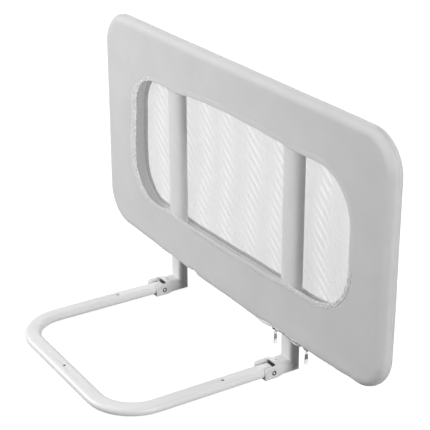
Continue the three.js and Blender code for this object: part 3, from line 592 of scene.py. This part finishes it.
def rounded_outline(left, right, bottom, top, radii):
    """Points round a rounded rectangle, the ways they face, and their runs' numbers."""
    corners = ((right - radii[0], bottom + radii[0]), (right - radii[1], top - radii[1]),
               (left + radii[2], top - radii[2]), (left + radii[3], bottom + radii[3]))
    outline = []
    for run, steps in enumerate(OUTLINE_STEPS):
        corner, bend = divmod(run, 2)
        for share in shares(steps)[:-1]:
            angle = (corner - 1 + bend * share) * math.pi / 2
            face = Vector((math.cos(angle), math.sin(angle)))
            place = Vector(corners[corner]) + face * radii[corner]
            if not bend:
                place = (Vector(corners[corner - 1]) + face * radii[corner - 1]).lerp(place, share)
            outline.append((place, face, run))
    return outline


def cloth_slack(x, z, seed):
    """How far the cloth stands off its flat face: slow waves, with gathers over the hem."""
    slow, quick = unevenness(x * 8, z * 8, seed), unevenness(x * 26, z * 20, seed + 5)
    gathers = unevenness(x * 95, z * 12, seed + 9) * math.exp(-(z - 0.07) / 0.02)
    return (0.75 * slow + 0.22 * quick + 0.35 * gathers) * MM


grey_cloth = cloth_finish("grey_cover_cloth", 0.80, 1250.0, 0.10 * MM)
# painted light: the cloth's reverse is a lighter grey than its face (0.86 against 0.80) and glows, which lifts the
# inside of the cover where it lies in shade
grey_backing_painted_light = cloth_finish("grey_cloth_backing_painted_light", 0.86, 1250.0, 0.05 * MM, sheen=0.05, glow=BACKING_PAINTED_GLOW)
PANEL_BOTTOM = PANEL_TOP - PANEL_HEIGHT
tangent_line = rounded_outline(EDGE_RADIUS - PANEL_HALF_LENGTH, PANEL_HALF_LENGTH - EDGE_RADIUS,
                               PANEL_BOTTOM + EDGE_RADIUS, PANEL_TOP - EDGE_RADIUS,
                               (CORNER_RADIUS - EDGE_RADIUS,) * 4)


def window_outline(grow, drift, share=None):
    """The window's strayed outline, grown all round, and at the left by a share of the tape's extra."""
    share = held(grow / TAPE_WIDTH) if share is None else share
    extra = share * LEFT_TAPE_EXTRA * 0.6
    radii = [radius + grow + (extra if corner > 1 else 0.0) for corner, radius in enumerate(WINDOW_RADII)]
    top, low, side = drift
    middle = (WINDOW_LOW + WINDOW_HIGH) / 2
    strayed = []
    for place, face, run in rounded_outline(WINDOW_LEFT - grow - extra, WINDOW_RIGHT + grow, WINDOW_LOW - grow,
                                            WINDOW_HIGH + grow, radii):
        upward = held((place.y - middle) / (WINDOW_HIGH - middle), -1.0)
        rise = read_off(top, place.x) * max(upward, 0.0) ** 2 + read_off(low, place.x) * min(upward, 0.0) ** 2
        shift = read_off(side, place.y) * (1 / (1 + math.exp((place.x + 0.27) / 0.02)))
        strayed.append((place + Vector((shift, rise)), face, run))
    return strayed


def hem_drop(point, run):
    """How far the seam has sunk below a straight bottom edge."""
    sunk = PANEL_BOTTOM - read_off(HEM_HEIGHTS, point.x)
    if run == 0:
        return sunk
    return sunk * max(1 - (point.y - PANEL_BOTTOM) / HEM_SPREAD, 0.0) ** 2


def seam_angle(gap):
    """How far round the edge, from straight down, a half ends that stands so far off the seam's middle."""
    return math.asin(min(gap / EDGE_RADIUS, SEAM_OPEN_MOST))


def thicken(sheet, thickness, offset, inner_material=0):
    """Gives a sheet its thickness."""
    thick = sheet.modifiers.new("thickness", "SOLIDIFY")
    thick.thickness = thickness
    thick.offset = offset
    thick.material_offset = inner_material


HALVES = {
    # name: (side of the panel, gaps in the seam, how its window strays, seed of its creases)
    "front": (-1, FRONT_GAPS, (FRONT_WINDOW_TOP, FRONT_WINDOW_LOW, FRONT_WINDOW_SIDE), 3.0),
    "back": (1, BACK_GAPS, (BACK_WINDOW_TOP, BACK_WINDOW_LOW, BACK_WINDOW_SIDE), 17.0),
}
for half_name, (side, gaps, drift, seed) in HALVES.items():
    inner = window_outline(UNDER_BINDING, drift)
    columns = len(tangent_line)
    points, uvs = [], []
    for share in shares(FACE_RINGS):
        share = (eased(share) + share) / 2
        for (near, _, _), (far, _, run) in zip(inner, tangent_line):
            place = near.lerp(far, share) - Vector((0, hem_drop(far, run) * share ** 2))
            from_edge = (far - near).length * (1 - share)
            sunk = HOLLOW * (1 - math.exp(-(from_edge / HOLLOW_REACH) ** 2))
            free = min(from_edge / SLACK_REACH, 1.0)
            off = EDGE_RADIUS - sunk + cloth_slack(place.x, place.y, seed) * free
            points.append((place.x, PANEL_PLANE + side * off, place.y))
            uvs.append((place.x, place.y))
    for ring in range(1, EDGE_RINGS + 3):
        folded = max(ring - EDGE_RINGS, 0)
        share = 1 - (1 - min(ring / EDGE_RINGS, 1.0)) ** 1.7
        for column, (far, face, run) in enumerate(tangent_line):
            gap = read_off(gaps, far.x) if run == 0 else 0.2 * MM
            end = seam_angle(gap)
            angle = math.pi / 2 + (end - math.pi / 2) * share
            from_seam = EDGE_RADIUS * (angle - end)
            sewn = math.exp(-(from_seam / SEAM_WIDTH) ** 2) * (1.0 if gap < MM else 0.35)
            turn = 2 * math.pi * column / columns
            lean = unevenness(11 * math.cos(turn), 11 * math.sin(turn), 0) * SEAM_LEAN
            radius = EDGE_RADIUS - SEAM_DEPTH * sewn - abs(lean)
            pucker = unevenness(far.x * 150, far.y * 150, seed) * PUCKER
            radius += pucker * math.exp(-from_seam / PUCKER_REACH) * (0.0 if folded else 1.0)
            radius += cloth_slack(far.x, far.y, seed) * (1 - share) - folded * LIP / 2
            hem = far - Vector((0, hem_drop(far, run)))
            place = hem + face * radius * math.cos(angle)
            points.append((place.x, PANEL_PLANE + side * radius * math.sin(angle), place.y))
            uvs.append(tuple(hem + face * (EDGE_RADIUS * (math.pi / 2 - angle) + folded * LIP / 2)))
    faces = band_faces(FACE_RINGS + EDGE_RINGS + 3, columns, wrapped=True, turned=side < 0)
    half = new_piece(f"{half_name}_cover_cloth", points, faces, grey_cloth, uvs)
    half.data.materials.append(grey_backing_painted_light)
    thicken(half, CLOTH_THICKNESS, -1.0, inner_material=1)
    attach(half, "guard")
    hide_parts(f"cover_{half_name}")

# Window bindings. A crinkled tape is folded over the cut edge of each window and sewn down with the net under it.
# It is drawn tight along the top, and bunches up on the left, over the feet of the uprights and lower right.
BINDING_STEPS = 1300
BINDING_PAINTED_GLOW = 0.07
WIDE_BELOW, WIDE_FADE = 392 * MM, 35 * MM
# the folded tape's section, in millimetres: (distance out from the window's edge, how far it stands proud)
BINDING_SECTION = ((9.4, -0.25), (8.6, 0.35), (7.0, 0.75), (5.2, 0.6), (4.2, 0.75), (2.2, 0.9), (0.4, 0.55),
                   (-0.5, -0.1), (-0.4, -0.8), (1.2, -1.2))


def crinkle_share(x, z):
    """How much the binding bunches up at a place round the window."""
    left = 1 / (1 + math.exp((x + 0.262) / 0.010))
    right = 1 / (1 + math.exp((0.255 - x) / 0.014)) * held((0.275 - z) / 0.03)
    feet = sum(math.exp(-((x - foot) / 0.035) ** 2) for foot in (-0.195, 0.205)) if z < 0.2 else 0.0
    return min(left + right + feet + 0.06, 1.0)


# painted light: the tape glows faintly, which lifts it where it lies in shade
crinkled_tape, tree, shader, points_of = new_material(
    "crinkled_tape", 0.82, 0.85, Sheen_Weight=0.2, Sheen_Roughness=0.5, Specular_IOR_Level=0.2,
    Emission_Color=grey(1.0), Emission_Strength=BINDING_PAINTED_GLOW)
bunched = add_node(tree, "ShaderNodeAttribute", attribute_name="bunched").outputs["Fac"]
pulled = add_node(tree, "ShaderNodeMapping", {"Vector": points_of["UV"], "Scale": (0.35, 1.0, 1.0)}).outputs[0]
speck_tone = remap(tree, patches(tree, pulled, 420.0, 2.0), 0.35, 0.65, 0.70, 1.3)
whitened = mixed(tree, bunched, grey(0.76), times(tree, grey(0.78), speck_tone))
ribs = place_group(tree, plain_weave, {"Vector": points_of["UV"], "Threads": 1100.0})["Height"]
rough_cloth = maths(tree, "ADD", grain(tree, points_of["Object"], 1100.0), ribs)
feed(tree, shader, {"Base Color": whitened, "Normal": bumps(tree, rough_cloth, 0.12 * MM)})


def evenly_round(outline, count):
    """Equally spaced points along a closed outline, and the ways they face."""
    loop = [(place, face) for place, face, _ in outline]
    loop.append(loop[0])
    lengths = [(b[0] - a[0]).length for a, b in zip(loop, loop[1:])]
    total = sum(lengths)
    spaced, index, passed = [], 0, 0.0
    for step in range(count):
        target = total * step / count
        while passed + lengths[index] < target:
            passed += lengths[index]
            index += 1
        share = (target - passed) / lengths[index]
        near, far = loop[index], loop[index + 1]
        spaced.append((near[0].lerp(far[0], share), near[1].lerp(far[1], share).normalized(), target))
    return spaced


for half_name, (side, gaps, drift, seed) in HALVES.items():
    points, uvs, strength = [], [], []
    for place, face, run in evenly_round(window_outline(0.0, drift), BINDING_STEPS):
        share = crinkle_share(place.x, place.y)
        below_corner = held((WIDE_BELOW - place.y) / WIDE_FADE)
        stretch = 1 + LEFT_TAPE_EXTRA / TAPE_WIDTH * max(-face.x, 0.0) ** 1.5 * below_corner
        for index, (reach, proud) in enumerate(BINDING_SECTION):
            at = Vector((place.x * 330, place.y * 330, index * 0.9 + seed))
            wave = unevenness(*at) + 0.6 * unevenness(*(at * 2.1))
            sway = unevenness(place.x * 150, place.y * 150, seed + 4 + index * 0.2)
            out = reach * stretch * MM + sway * (0.25 + 0.9 * share) * MM
            lift = proud * (0.3 + 0.7 * share) + (0.06 + 1.0 * share) * wave
            up = EDGE_RADIUS - HOLLOW + max(lift, min(proud, -0.2) - 0.3) * MM
            points.append((place.x + face.x * out, PANEL_PLANE + side * up, place.y + face.y * out))
            uvs.append((run, reach * stretch * MM))
            strength.append(share)
    faces = band_faces(BINDING_STEPS, len(BINDING_SECTION), wrapped=True, closed=True, turned=side < 0)
    binding = new_piece(f"{half_name}_window_tape", points, faces, crinkled_tape, uvs)
    bunches = binding.data.attributes.new("bunched", "FLOAT", "POINT")
    bunches.data.foreach_set("value", strength)
    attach(binding, "guard")
    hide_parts(f"window_binding_{half_name}")

# Nets. A fine white warp-knitted net of six-sided holes is stretched in each window, its edge caught under the
# binding. The holes of the two nets beat against each other where one is seen through the other.
NET_DEPTH = 12.6 * MM
NET_EDGE = 3.0 * MM
NET_RINGS = 24
NET_PITCH = 1.9 * MM
BACK_STRETCH = 0.107
STRETCH_WAY = Vector((0.715, 0.699))
net_holes, fed, filled = new_group("net_holes", {"Pitch": 0.002, "Thread": 0.4}, ["Thread"])
per_hole = maths(net_holes, "DIVIDE", 4 * math.pi / math.sqrt(3), fed["Pitch"])
scaled = vector_maths(net_holes, "SCALE", fed["Vector"], Scale=per_hole)
waves = []
for angle in (0, 60, 120):
    way = (math.cos(math.radians(angle)), math.sin(math.radians(angle)), 0)
    waves.append(maths(net_holes, "COSINE", vector_maths(net_holes, "DOT_PRODUCT", scaled, way)))
height = maths(net_holes, "ADD", maths(net_holes, "ADD", *waves[:2]), waves[2])
edge_low = maths(net_holes, "SUBTRACT", fed["Thread"], 0.15)
edge_high = maths(net_holes, "ADD", fed["Thread"], 0.15)
feed(net_holes, filled, {"Thread": remap(net_holes, height, edge_low, edge_high, 1.0, 0.0)})

white_mesh, tree, shader, points_of = new_material("white_net", 0.77, 0.8, Specular_IOR_Level=0.25)
holes = place_group(tree, net_holes, {"Vector": points_of["UV"], "Pitch": NET_PITCH, "Thread": -0.95})["Thread"]
tone = place_group(tree, tone_drift, {"Vector": points_of["Object"], "Per Metre": 20.0, "Amount": 0.02})["Tone"]
feed(tree, shader, {"Alpha": holes, "Base Color": times(tree, grey(0.77), tone),
                    "Normal": bumps(tree, holes, 0.15 * MM)})
for half_name, (side, gaps, drift, seed) in HALVES.items():
    edge = window_outline(NET_EDGE, drift)
    middle = Vector(((WINDOW_LEFT + WINDOW_RIGHT) / 2, (WINDOW_LOW + WINDOW_HIGH) / 2))
    points, uvs = [], []
    for share in shares(NET_RINGS)[::-1]:
        for place, _, _ in edge:
            at = middle.lerp(place, max(share, 0.002))
            billow = unevenness(at.x * 5, at.y * 6, seed) * 0.4 * MM * (1 - share ** 6)
            points.append((at.x, PANEL_PLANE + side * (NET_DEPTH + billow), at.y))
            uvs.append((at.x, at.y + (BACK_STRETCH * STRETCH_WAY.dot(at) if side > 0 else 0.0)))
    faces = band_faces(NET_RINGS + 1, len(edge), wrapped=True, turned=side > 0)
    net = new_piece(f"{half_name}_window_mesh", points, faces, white_mesh, uvs)
    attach(net, "guard")
    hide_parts(f"window_net_{half_name}")

# Zip. Its tapes are sewn inside the two edges of the bottom seam. The teeth are closed from the left stop to the
# left slider, run loose round the right post, and are closed again from the right slider to the right stop.
TOOTH_PITCH = 1.5 * MM
TOOTH_LENGTH = 3.3 * MM
TOOTH_WIDE = 0.85 * MM
TOOTH_TALL = 1.7 * MM
CHAIN_HALF = 2.6 * MM
ROW_HALF = 1.7 * MM
ROW_START, ROW_END = 149.6 * MM, 228.6 * MM
BEAD_RADIUS = 0.8 * MM
BEAD_OUT = 1.3 * MM
BEAD_STEPS = 78
BEAD_START, BEAD_LENGTH = 150 * MM, 78 * MM
CHAIN_LIFT = -0.1 * MM
# height of the chain above the floor, in millimetres: level, so that the left slider runs true, then with the seam
CHAIN_HEIGHTS = ((138, 58.0), (150, 57.8), (229, 61.6), (270, 63.0), (330, 65.6))
ZIP_START, ZIP_END = -78 * MM, 300 * MM
LEFT_SLIDER, RIGHT_SLIDER = 143 * MM, 235 * MM
TAPE_COLUMNS = 6
TAPE_STEP = 2 * MM
TAPE_THICKNESS = 0.5 * MM
TAPE_PAINTED_GLOW = 0.14
# the loose rows round the post, in millimetres: (x, distance from the middle) and (x, rise over the seam)
FRONT_ROW_OUT = ((149, 1.7), (157, 6.5), (165, 11.2), (174, 11.9), (204, 12.0), (211, 11.9), (217, 10.6),
                 (223, 6.6), (229, 1.7))
FRONT_ROW_RISE = ((149, -0.2), (156, 2.8), (164, 7.4), (172, 10), (182, 10.2), (192, 9.2), (204, 8.4),
                  (214, 7.2), (220, 5.2), (225, 2.2), (229, -0.2))
BACK_ROW_OUT = ((149, 1.7), (158, 6.5), (166, 11), (174, 11.7), (206, 11.7), (214, 10.2), (222, 6.2),
                (229, 1.7))
BACK_ROW_RISE = ((149, -0.2), (160, 1.0), (172, 2.2), (206, 2.0), (218, 0.2), (229, -0.2))
FRONT_TAPE_SLACK = ((80, 0.2), (94, 2.8), (112, 4.7), (130, 4.2), (138, 2.4), (144, 0.6), (229, 0.6),
                    (240, 0.2))
BACK_TAPE_SLACK = ((140, 0.2), (172, 1.5), (206, 1.5), (235, 0.2))

# painted shade: the teeth are painted dark grey (0.36), so that the loose row shows as a dark line under the
# cloth's edge, where there is shade
zip_moulding_painted_shade = hard_finish("zip_teeth", 0.36, 0.38, 0.3 * MM, 0.01 * MM, 1.05)
# painted light: the zip tape, and the facing cut from it, glow faintly, which lifts them in the shade under the
# cover
tape_cloth = cloth_finish("zip_tape", 0.92, 1700.0, 0.08 * MM, glow=TAPE_PAINTED_GLOW)


def seam_place(x, out, rise, heights=HEM_HEIGHTS):
    """A point by the bottom seam: how far along, how far out and how far over it."""
    return Vector((x, PANEL_PLANE + out, read_off(heights, x) + rise))


def chain_place(x, out, rise):
    """A point by the chain, which keeps level where the seam's cloth sags."""
    return seam_place(x, out, rise, CHAIN_HEIGHTS)


def cloth_edge(x, side, gaps):
    """Where a half's cut edge runs along the bottom."""
    angle = seam_angle(read_off(gaps, x))
    inner = EDGE_RADIUS - CLOTH_THICKNESS
    return seam_place(x, side * inner * math.sin(angle), EDGE_RADIUS - inner * math.cos(angle))


def six_round(centre, across, up, first=0.0):
    """Six points round a place, in the plane of two half-widths."""
    angles = [first + turn * math.pi / 3 for turn in range(6)]
    return [centre + across * math.cos(angle) + up * math.sin(angle) for angle in angles]


UPWARD = Vector((0, 0, 1))


def add_tooth(points, faces, root, reach, way, up):
    """A tooth: a rounded bar that stands out from its tape."""
    start = len(points)
    for place, size in ((0.0, 0.7), (0.12, 1.0), (0.8, 1.0), (1.0, 0.6)):
        points += six_round(root + reach * place, way * (size * TOOTH_WIDE / 2), up * (size * TOOTH_TALL / 2),
                            math.pi / 6)
    faces += band_faces(4, 6, wrapped=True, start=start)
    faces += [tuple(range(start + 5, start - 1, -1)), tuple(range(start + 18, start + 24))]


CHAINS = (("left", ZIP_START, LEFT_SLIDER + 3 * MM), ("right", RIGHT_SLIDER - 3 * MM, ZIP_END))
for hand, start, end in CHAINS:
    points, faces = [], []
    for index in range(int((end - start) / TOOTH_PITCH * 2)):
        side = 1 if index % 2 else -1
        root = chain_place(start + (index + 0.5) * TOOTH_PITCH / 2, side * CHAIN_HALF, CHAIN_LIFT)
        add_tooth(points, faces, root, Vector((0, -side * TOOTH_LENGTH, 0)), Vector((side, 0, 0)), UPWARD)
    chain = new_piece(f"{hand}_zip_teeth", points, faces, zip_moulding_painted_shade)
    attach(chain, "guard")
    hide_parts(f"zip_chain_{hand}")
soften(["zip_stop_left", "zip_stop_right"], plated_steel, 0.3 * MM)

ROWS = {"front": (FRONT_ROW_OUT, FRONT_ROW_RISE, FRONT_TAPE_SLACK),
        "back": (BACK_ROW_OUT, BACK_ROW_RISE, BACK_TAPE_SLACK)}
for half_name, (side, gaps, drift, seed) in HALVES.items():
    row_out, row_rise, tape_slack = ROWS[half_name]

    def row_place(x):
        """The middle of the half's row of teeth."""
        loose = row_out[0][0] * MM <= x <= row_out[-1][0] * MM
        out = read_off(row_out, x) if loose else ROW_HALF
        rise = read_off(row_rise, x) if loose else CHAIN_LIFT
        return chain_place(x, side * out, rise)

    points, faces = [], []
    x = ROW_START
    while x < ROW_END:
        here = row_place(x)
        along = (row_place(x + 0.5 * MM) - here).normalized()
        inward = along.cross(UPWARD * side).normalized()
        inward *= 1 if inward.y * side < 0 else -1
        up = inward.cross(along).normalized()
        add_tooth(points, faces, here - inward * 1.2 * MM, inward * 2.6 * MM, along * side,
                  up * (1 if up.z > 0 else -1))
        x += TOOTH_PITCH * max(abs(along.x), 0.25)
    bead = len(points)
    for share in shares(BEAD_STEPS):
        here = row_place(BEAD_START + BEAD_LENGTH * share) + Vector((0, side * BEAD_OUT, -BEAD_OUT / 2))
        points += six_round(here, Vector((0, BEAD_RADIUS, 0)), UPWARD * BEAD_RADIUS)
    faces += band_faces(BEAD_STEPS + 1, 6, wrapped=True, turned=True, start=bead)
    row = new_piece(f"{half_name}_loose_teeth", points, faces, zip_moulding_painted_shade)
    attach(row, "guard")
    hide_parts(f"zip_row_{half_name}")

    points, uvs = [], []
    steps = int((ZIP_END - ZIP_START) / TAPE_STEP)
    for x in (ZIP_START + (ZIP_END - ZIP_START) * share for share in shares(steps)):
        edge, row_edge = cloth_edge(x, side, gaps), row_place(x) + Vector((0, side * 0.9 * MM, 0))
        slack = read_off(tape_slack, x)
        inside = edge + Vector((0, -side * 0.6 * MM, 3.0 * MM))
        belly = (edge + row_edge) / 2 + Vector((0, side * slack * 0.9, -2 * slack))
        for share in shares(TAPE_COLUMNS):
            curve = inside.lerp(edge, share).lerp(edge.lerp(belly, share), share)
            under = edge.lerp(belly, share).lerp(belly.lerp(row_edge, share), share)
            ripple = unevenness(x * 160, side * 3.0, share) * 0.4 * MM
            points.append(curve.lerp(under, share) + Vector((0, side * ripple * share * (1 - share) * 4, 0)))
            uvs.append((x, share * 0.012))
    faces = band_faces(steps + 1, TAPE_COLUMNS + 1, turned=side > 0)
    tape = new_piece(f"{half_name}_zip_tape", points, faces, tape_cloth, uvs)
    thicken(tape, TAPE_THICKNESS, 0.0)
    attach(tape, "guard")

# Facing. A strip of white tape is sewn behind the front row of teeth at the right of the post, and hangs a
# little below it, so that the opening doesn't catch on the post.
FACING_START, FACING_END = 206 * MM, 231 * MM
FACING_STEPS = 24
FACING_DROP = ((206, 1.5), (209, 6.0), (214, 8.2), (219, 7.4), (224, 5.0), (228, 2.4), (231, 0.8))
FACING_BOW = 1.6 * MM
points, uvs = [], []
for x in (FACING_START + (FACING_END - FACING_START) * share for share in shares(FACING_STEPS)):
    top = chain_place(x, -max(read_off(FRONT_ROW_OUT, x), ROW_HALF), read_off(FRONT_ROW_RISE, x) + 0.5 * MM)
    for share in shares(TAPE_COLUMNS):
        bow = FACING_BOW * math.sin(math.pi * share) - 0.6 * MM
        points.append(top + Vector((0, -bow, -read_off(FACING_DROP, x) * share)))
        uvs.append((x, share * 0.008))
faces = band_faces(FACING_STEPS + 1, TAPE_COLUMNS + 1)
facing = new_piece("front_post_facing", points, faces, tape_cloth, uvs)
thicken(facing, TAPE_THICKNESS, 0.0)
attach(facing, "guard")

# Stitches. White thread holds the zip tapes inside the edges of the seam, and runs round each window through
# the binding, the net and the cloth.
STITCH_PITCH = 3.4 * MM
STITCH_LENGTH = 2.4 * MM
STITCH_HALF = 0.225 * MM
STITCH_INSET = 3.2 * MM
STITCH_SUNK = 0.30 * MM
STITCHES_ROUND = 500
thread_cotton = cloth_finish("sewing_thread", 0.90, 2500.0, 0.05 * MM, roughness=0.7)


def add_stitch(points, faces, middle, along, out):
    """One stitch: a short thread that dives into the cloth at both ends."""
    start = len(points)
    across = along.cross(out).normalized()
    for share, size, lift in ((-0.5, 0.35, -0.5), (-0.3, 1.0, 0.25), (0.3, 1.0, 0.25), (0.5, 0.35, -0.5)):
        centre = middle + along * (share * STITCH_LENGTH) + out * (lift * 2 * STITCH_HALF)
        points += six_round(centre, across * (size * STITCH_HALF), out * (size * STITCH_HALF))
    faces += band_faces(4, 6, wrapped=True, start=start)


for half_name, (side, gaps, drift, seed) in HALVES.items():
    points, faces = [], []
    for index in range(int((ZIP_END - ZIP_START) / STITCH_PITCH)):
        x = ZIP_START + (index + 0.5) * STITCH_PITCH
        spot = []
        for place in (x, x + MM):
            angle = seam_angle(read_off(gaps, place)) + STITCH_INSET / EDGE_RADIUS
            radius = EDGE_RADIUS - STITCH_SUNK
            sunk = EDGE_RADIUS - radius * math.cos(angle)
            spot.append(seam_place(place, side * radius * math.sin(angle), sunk))
        out = Vector((0, side * math.sin(angle), -math.cos(angle)))
        add_stitch(points, faces, spot[0], (spot[1] - spot[0]).normalized(), out)
    hem_stitches = new_piece(f"{half_name}_zip_stitches", points, faces, thread_cotton)
    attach(hem_stitches, "guard")

    points, faces = [], []
    around = evenly_round(window_outline(6.4 * MM, drift, share=0.9), STITCHES_ROUND)
    for (place, _, _), (following, _, _) in zip(around, around[1:] + around[:1]):
        along = Vector((following.x - place.x, 0, following.y - place.y)).normalized()
        middle = Vector((place.x, PANEL_PLANE + side * (EDGE_RADIUS - HOLLOW + 0.85 * MM), place.y))
        add_stitch(points, faces, middle, along, Vector((0, side, 0)))
    window_stitches = new_piece(f"{half_name}_window_stitches", points, faces, thread_cotton)
    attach(window_stitches, "guard")


for half_name, (side, gaps, drift, seed) in HALVES.items():
    sewn_on = [bpy.data.objects[f"{half_name}_{part}"]
               for part in ("window_tape", "zip_tape", "zip_stitches", "window_stitches")]
    sewn_on += [facing] if half_name == "front" else []
    edge = window_outline(NET_EDGE, drift)

# Sliders and pulls. Die-cast sliders with a bowed bridge, each carrying a pull with an eye at one end and a ring
# at the other. They are plated bright. The sliders and the ribbed middle of each pull are painted darker, the
# right pull's middle most: painted shade.
# painted shade: the sliders are painted mid grey (0.5), for the shade in the opening of the seam round them
cast_zinc_painted_shade = bright_metal("plated_casting", 0.5, 0.3, 0.8 * MM, 0.02 * MM)
soften(both("slider"), cast_zinc_painted_shade, 0.25 * MM)

# a level band of a piece, between two heights in its own coordinates
level_band, fed, filled = new_group("level_band", {"Low": 0.0, "High": 1.0}, ["Mask"])
height = add_node(level_band, "ShaderNodeSeparateXYZ", {0: fed["Vector"]}).outputs[2]
over = maths(level_band, "GREATER_THAN", height, fed["Low"])
below = maths(level_band, "LESS_THAN", height, fed["High"])
feed(level_band, filled, {"Mask": maths(level_band, "MULTIPLY", over, below)})

# the pulls' ribbed middle, as shares of their height, and how much darker it is painted: painted shade, deeper on
# the right pull than on the left
RIBS_LOW, RIBS_HIGH = 0.36, 0.72
for hand, painted_middle_shade in (("left", 0.42), ("right", 0.22)):
    name = f"{hand}_pull"
    finish = bright_metal(f"{hand}_pull_casting", 0.88, 0.22, 0.8 * MM, 0.02 * MM)
    low_end, high_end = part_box(name)
    tall = high_end.z - low_end.z
    foot = low_end.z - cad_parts[name].matrix_world.translation.z
    tone_within(finish, level_band, {"Low": foot + RIBS_LOW * tall, "High": foot + RIBS_HIGH * tall}, painted_middle_shade)
    soften([name], finish, 0.25 * MM)
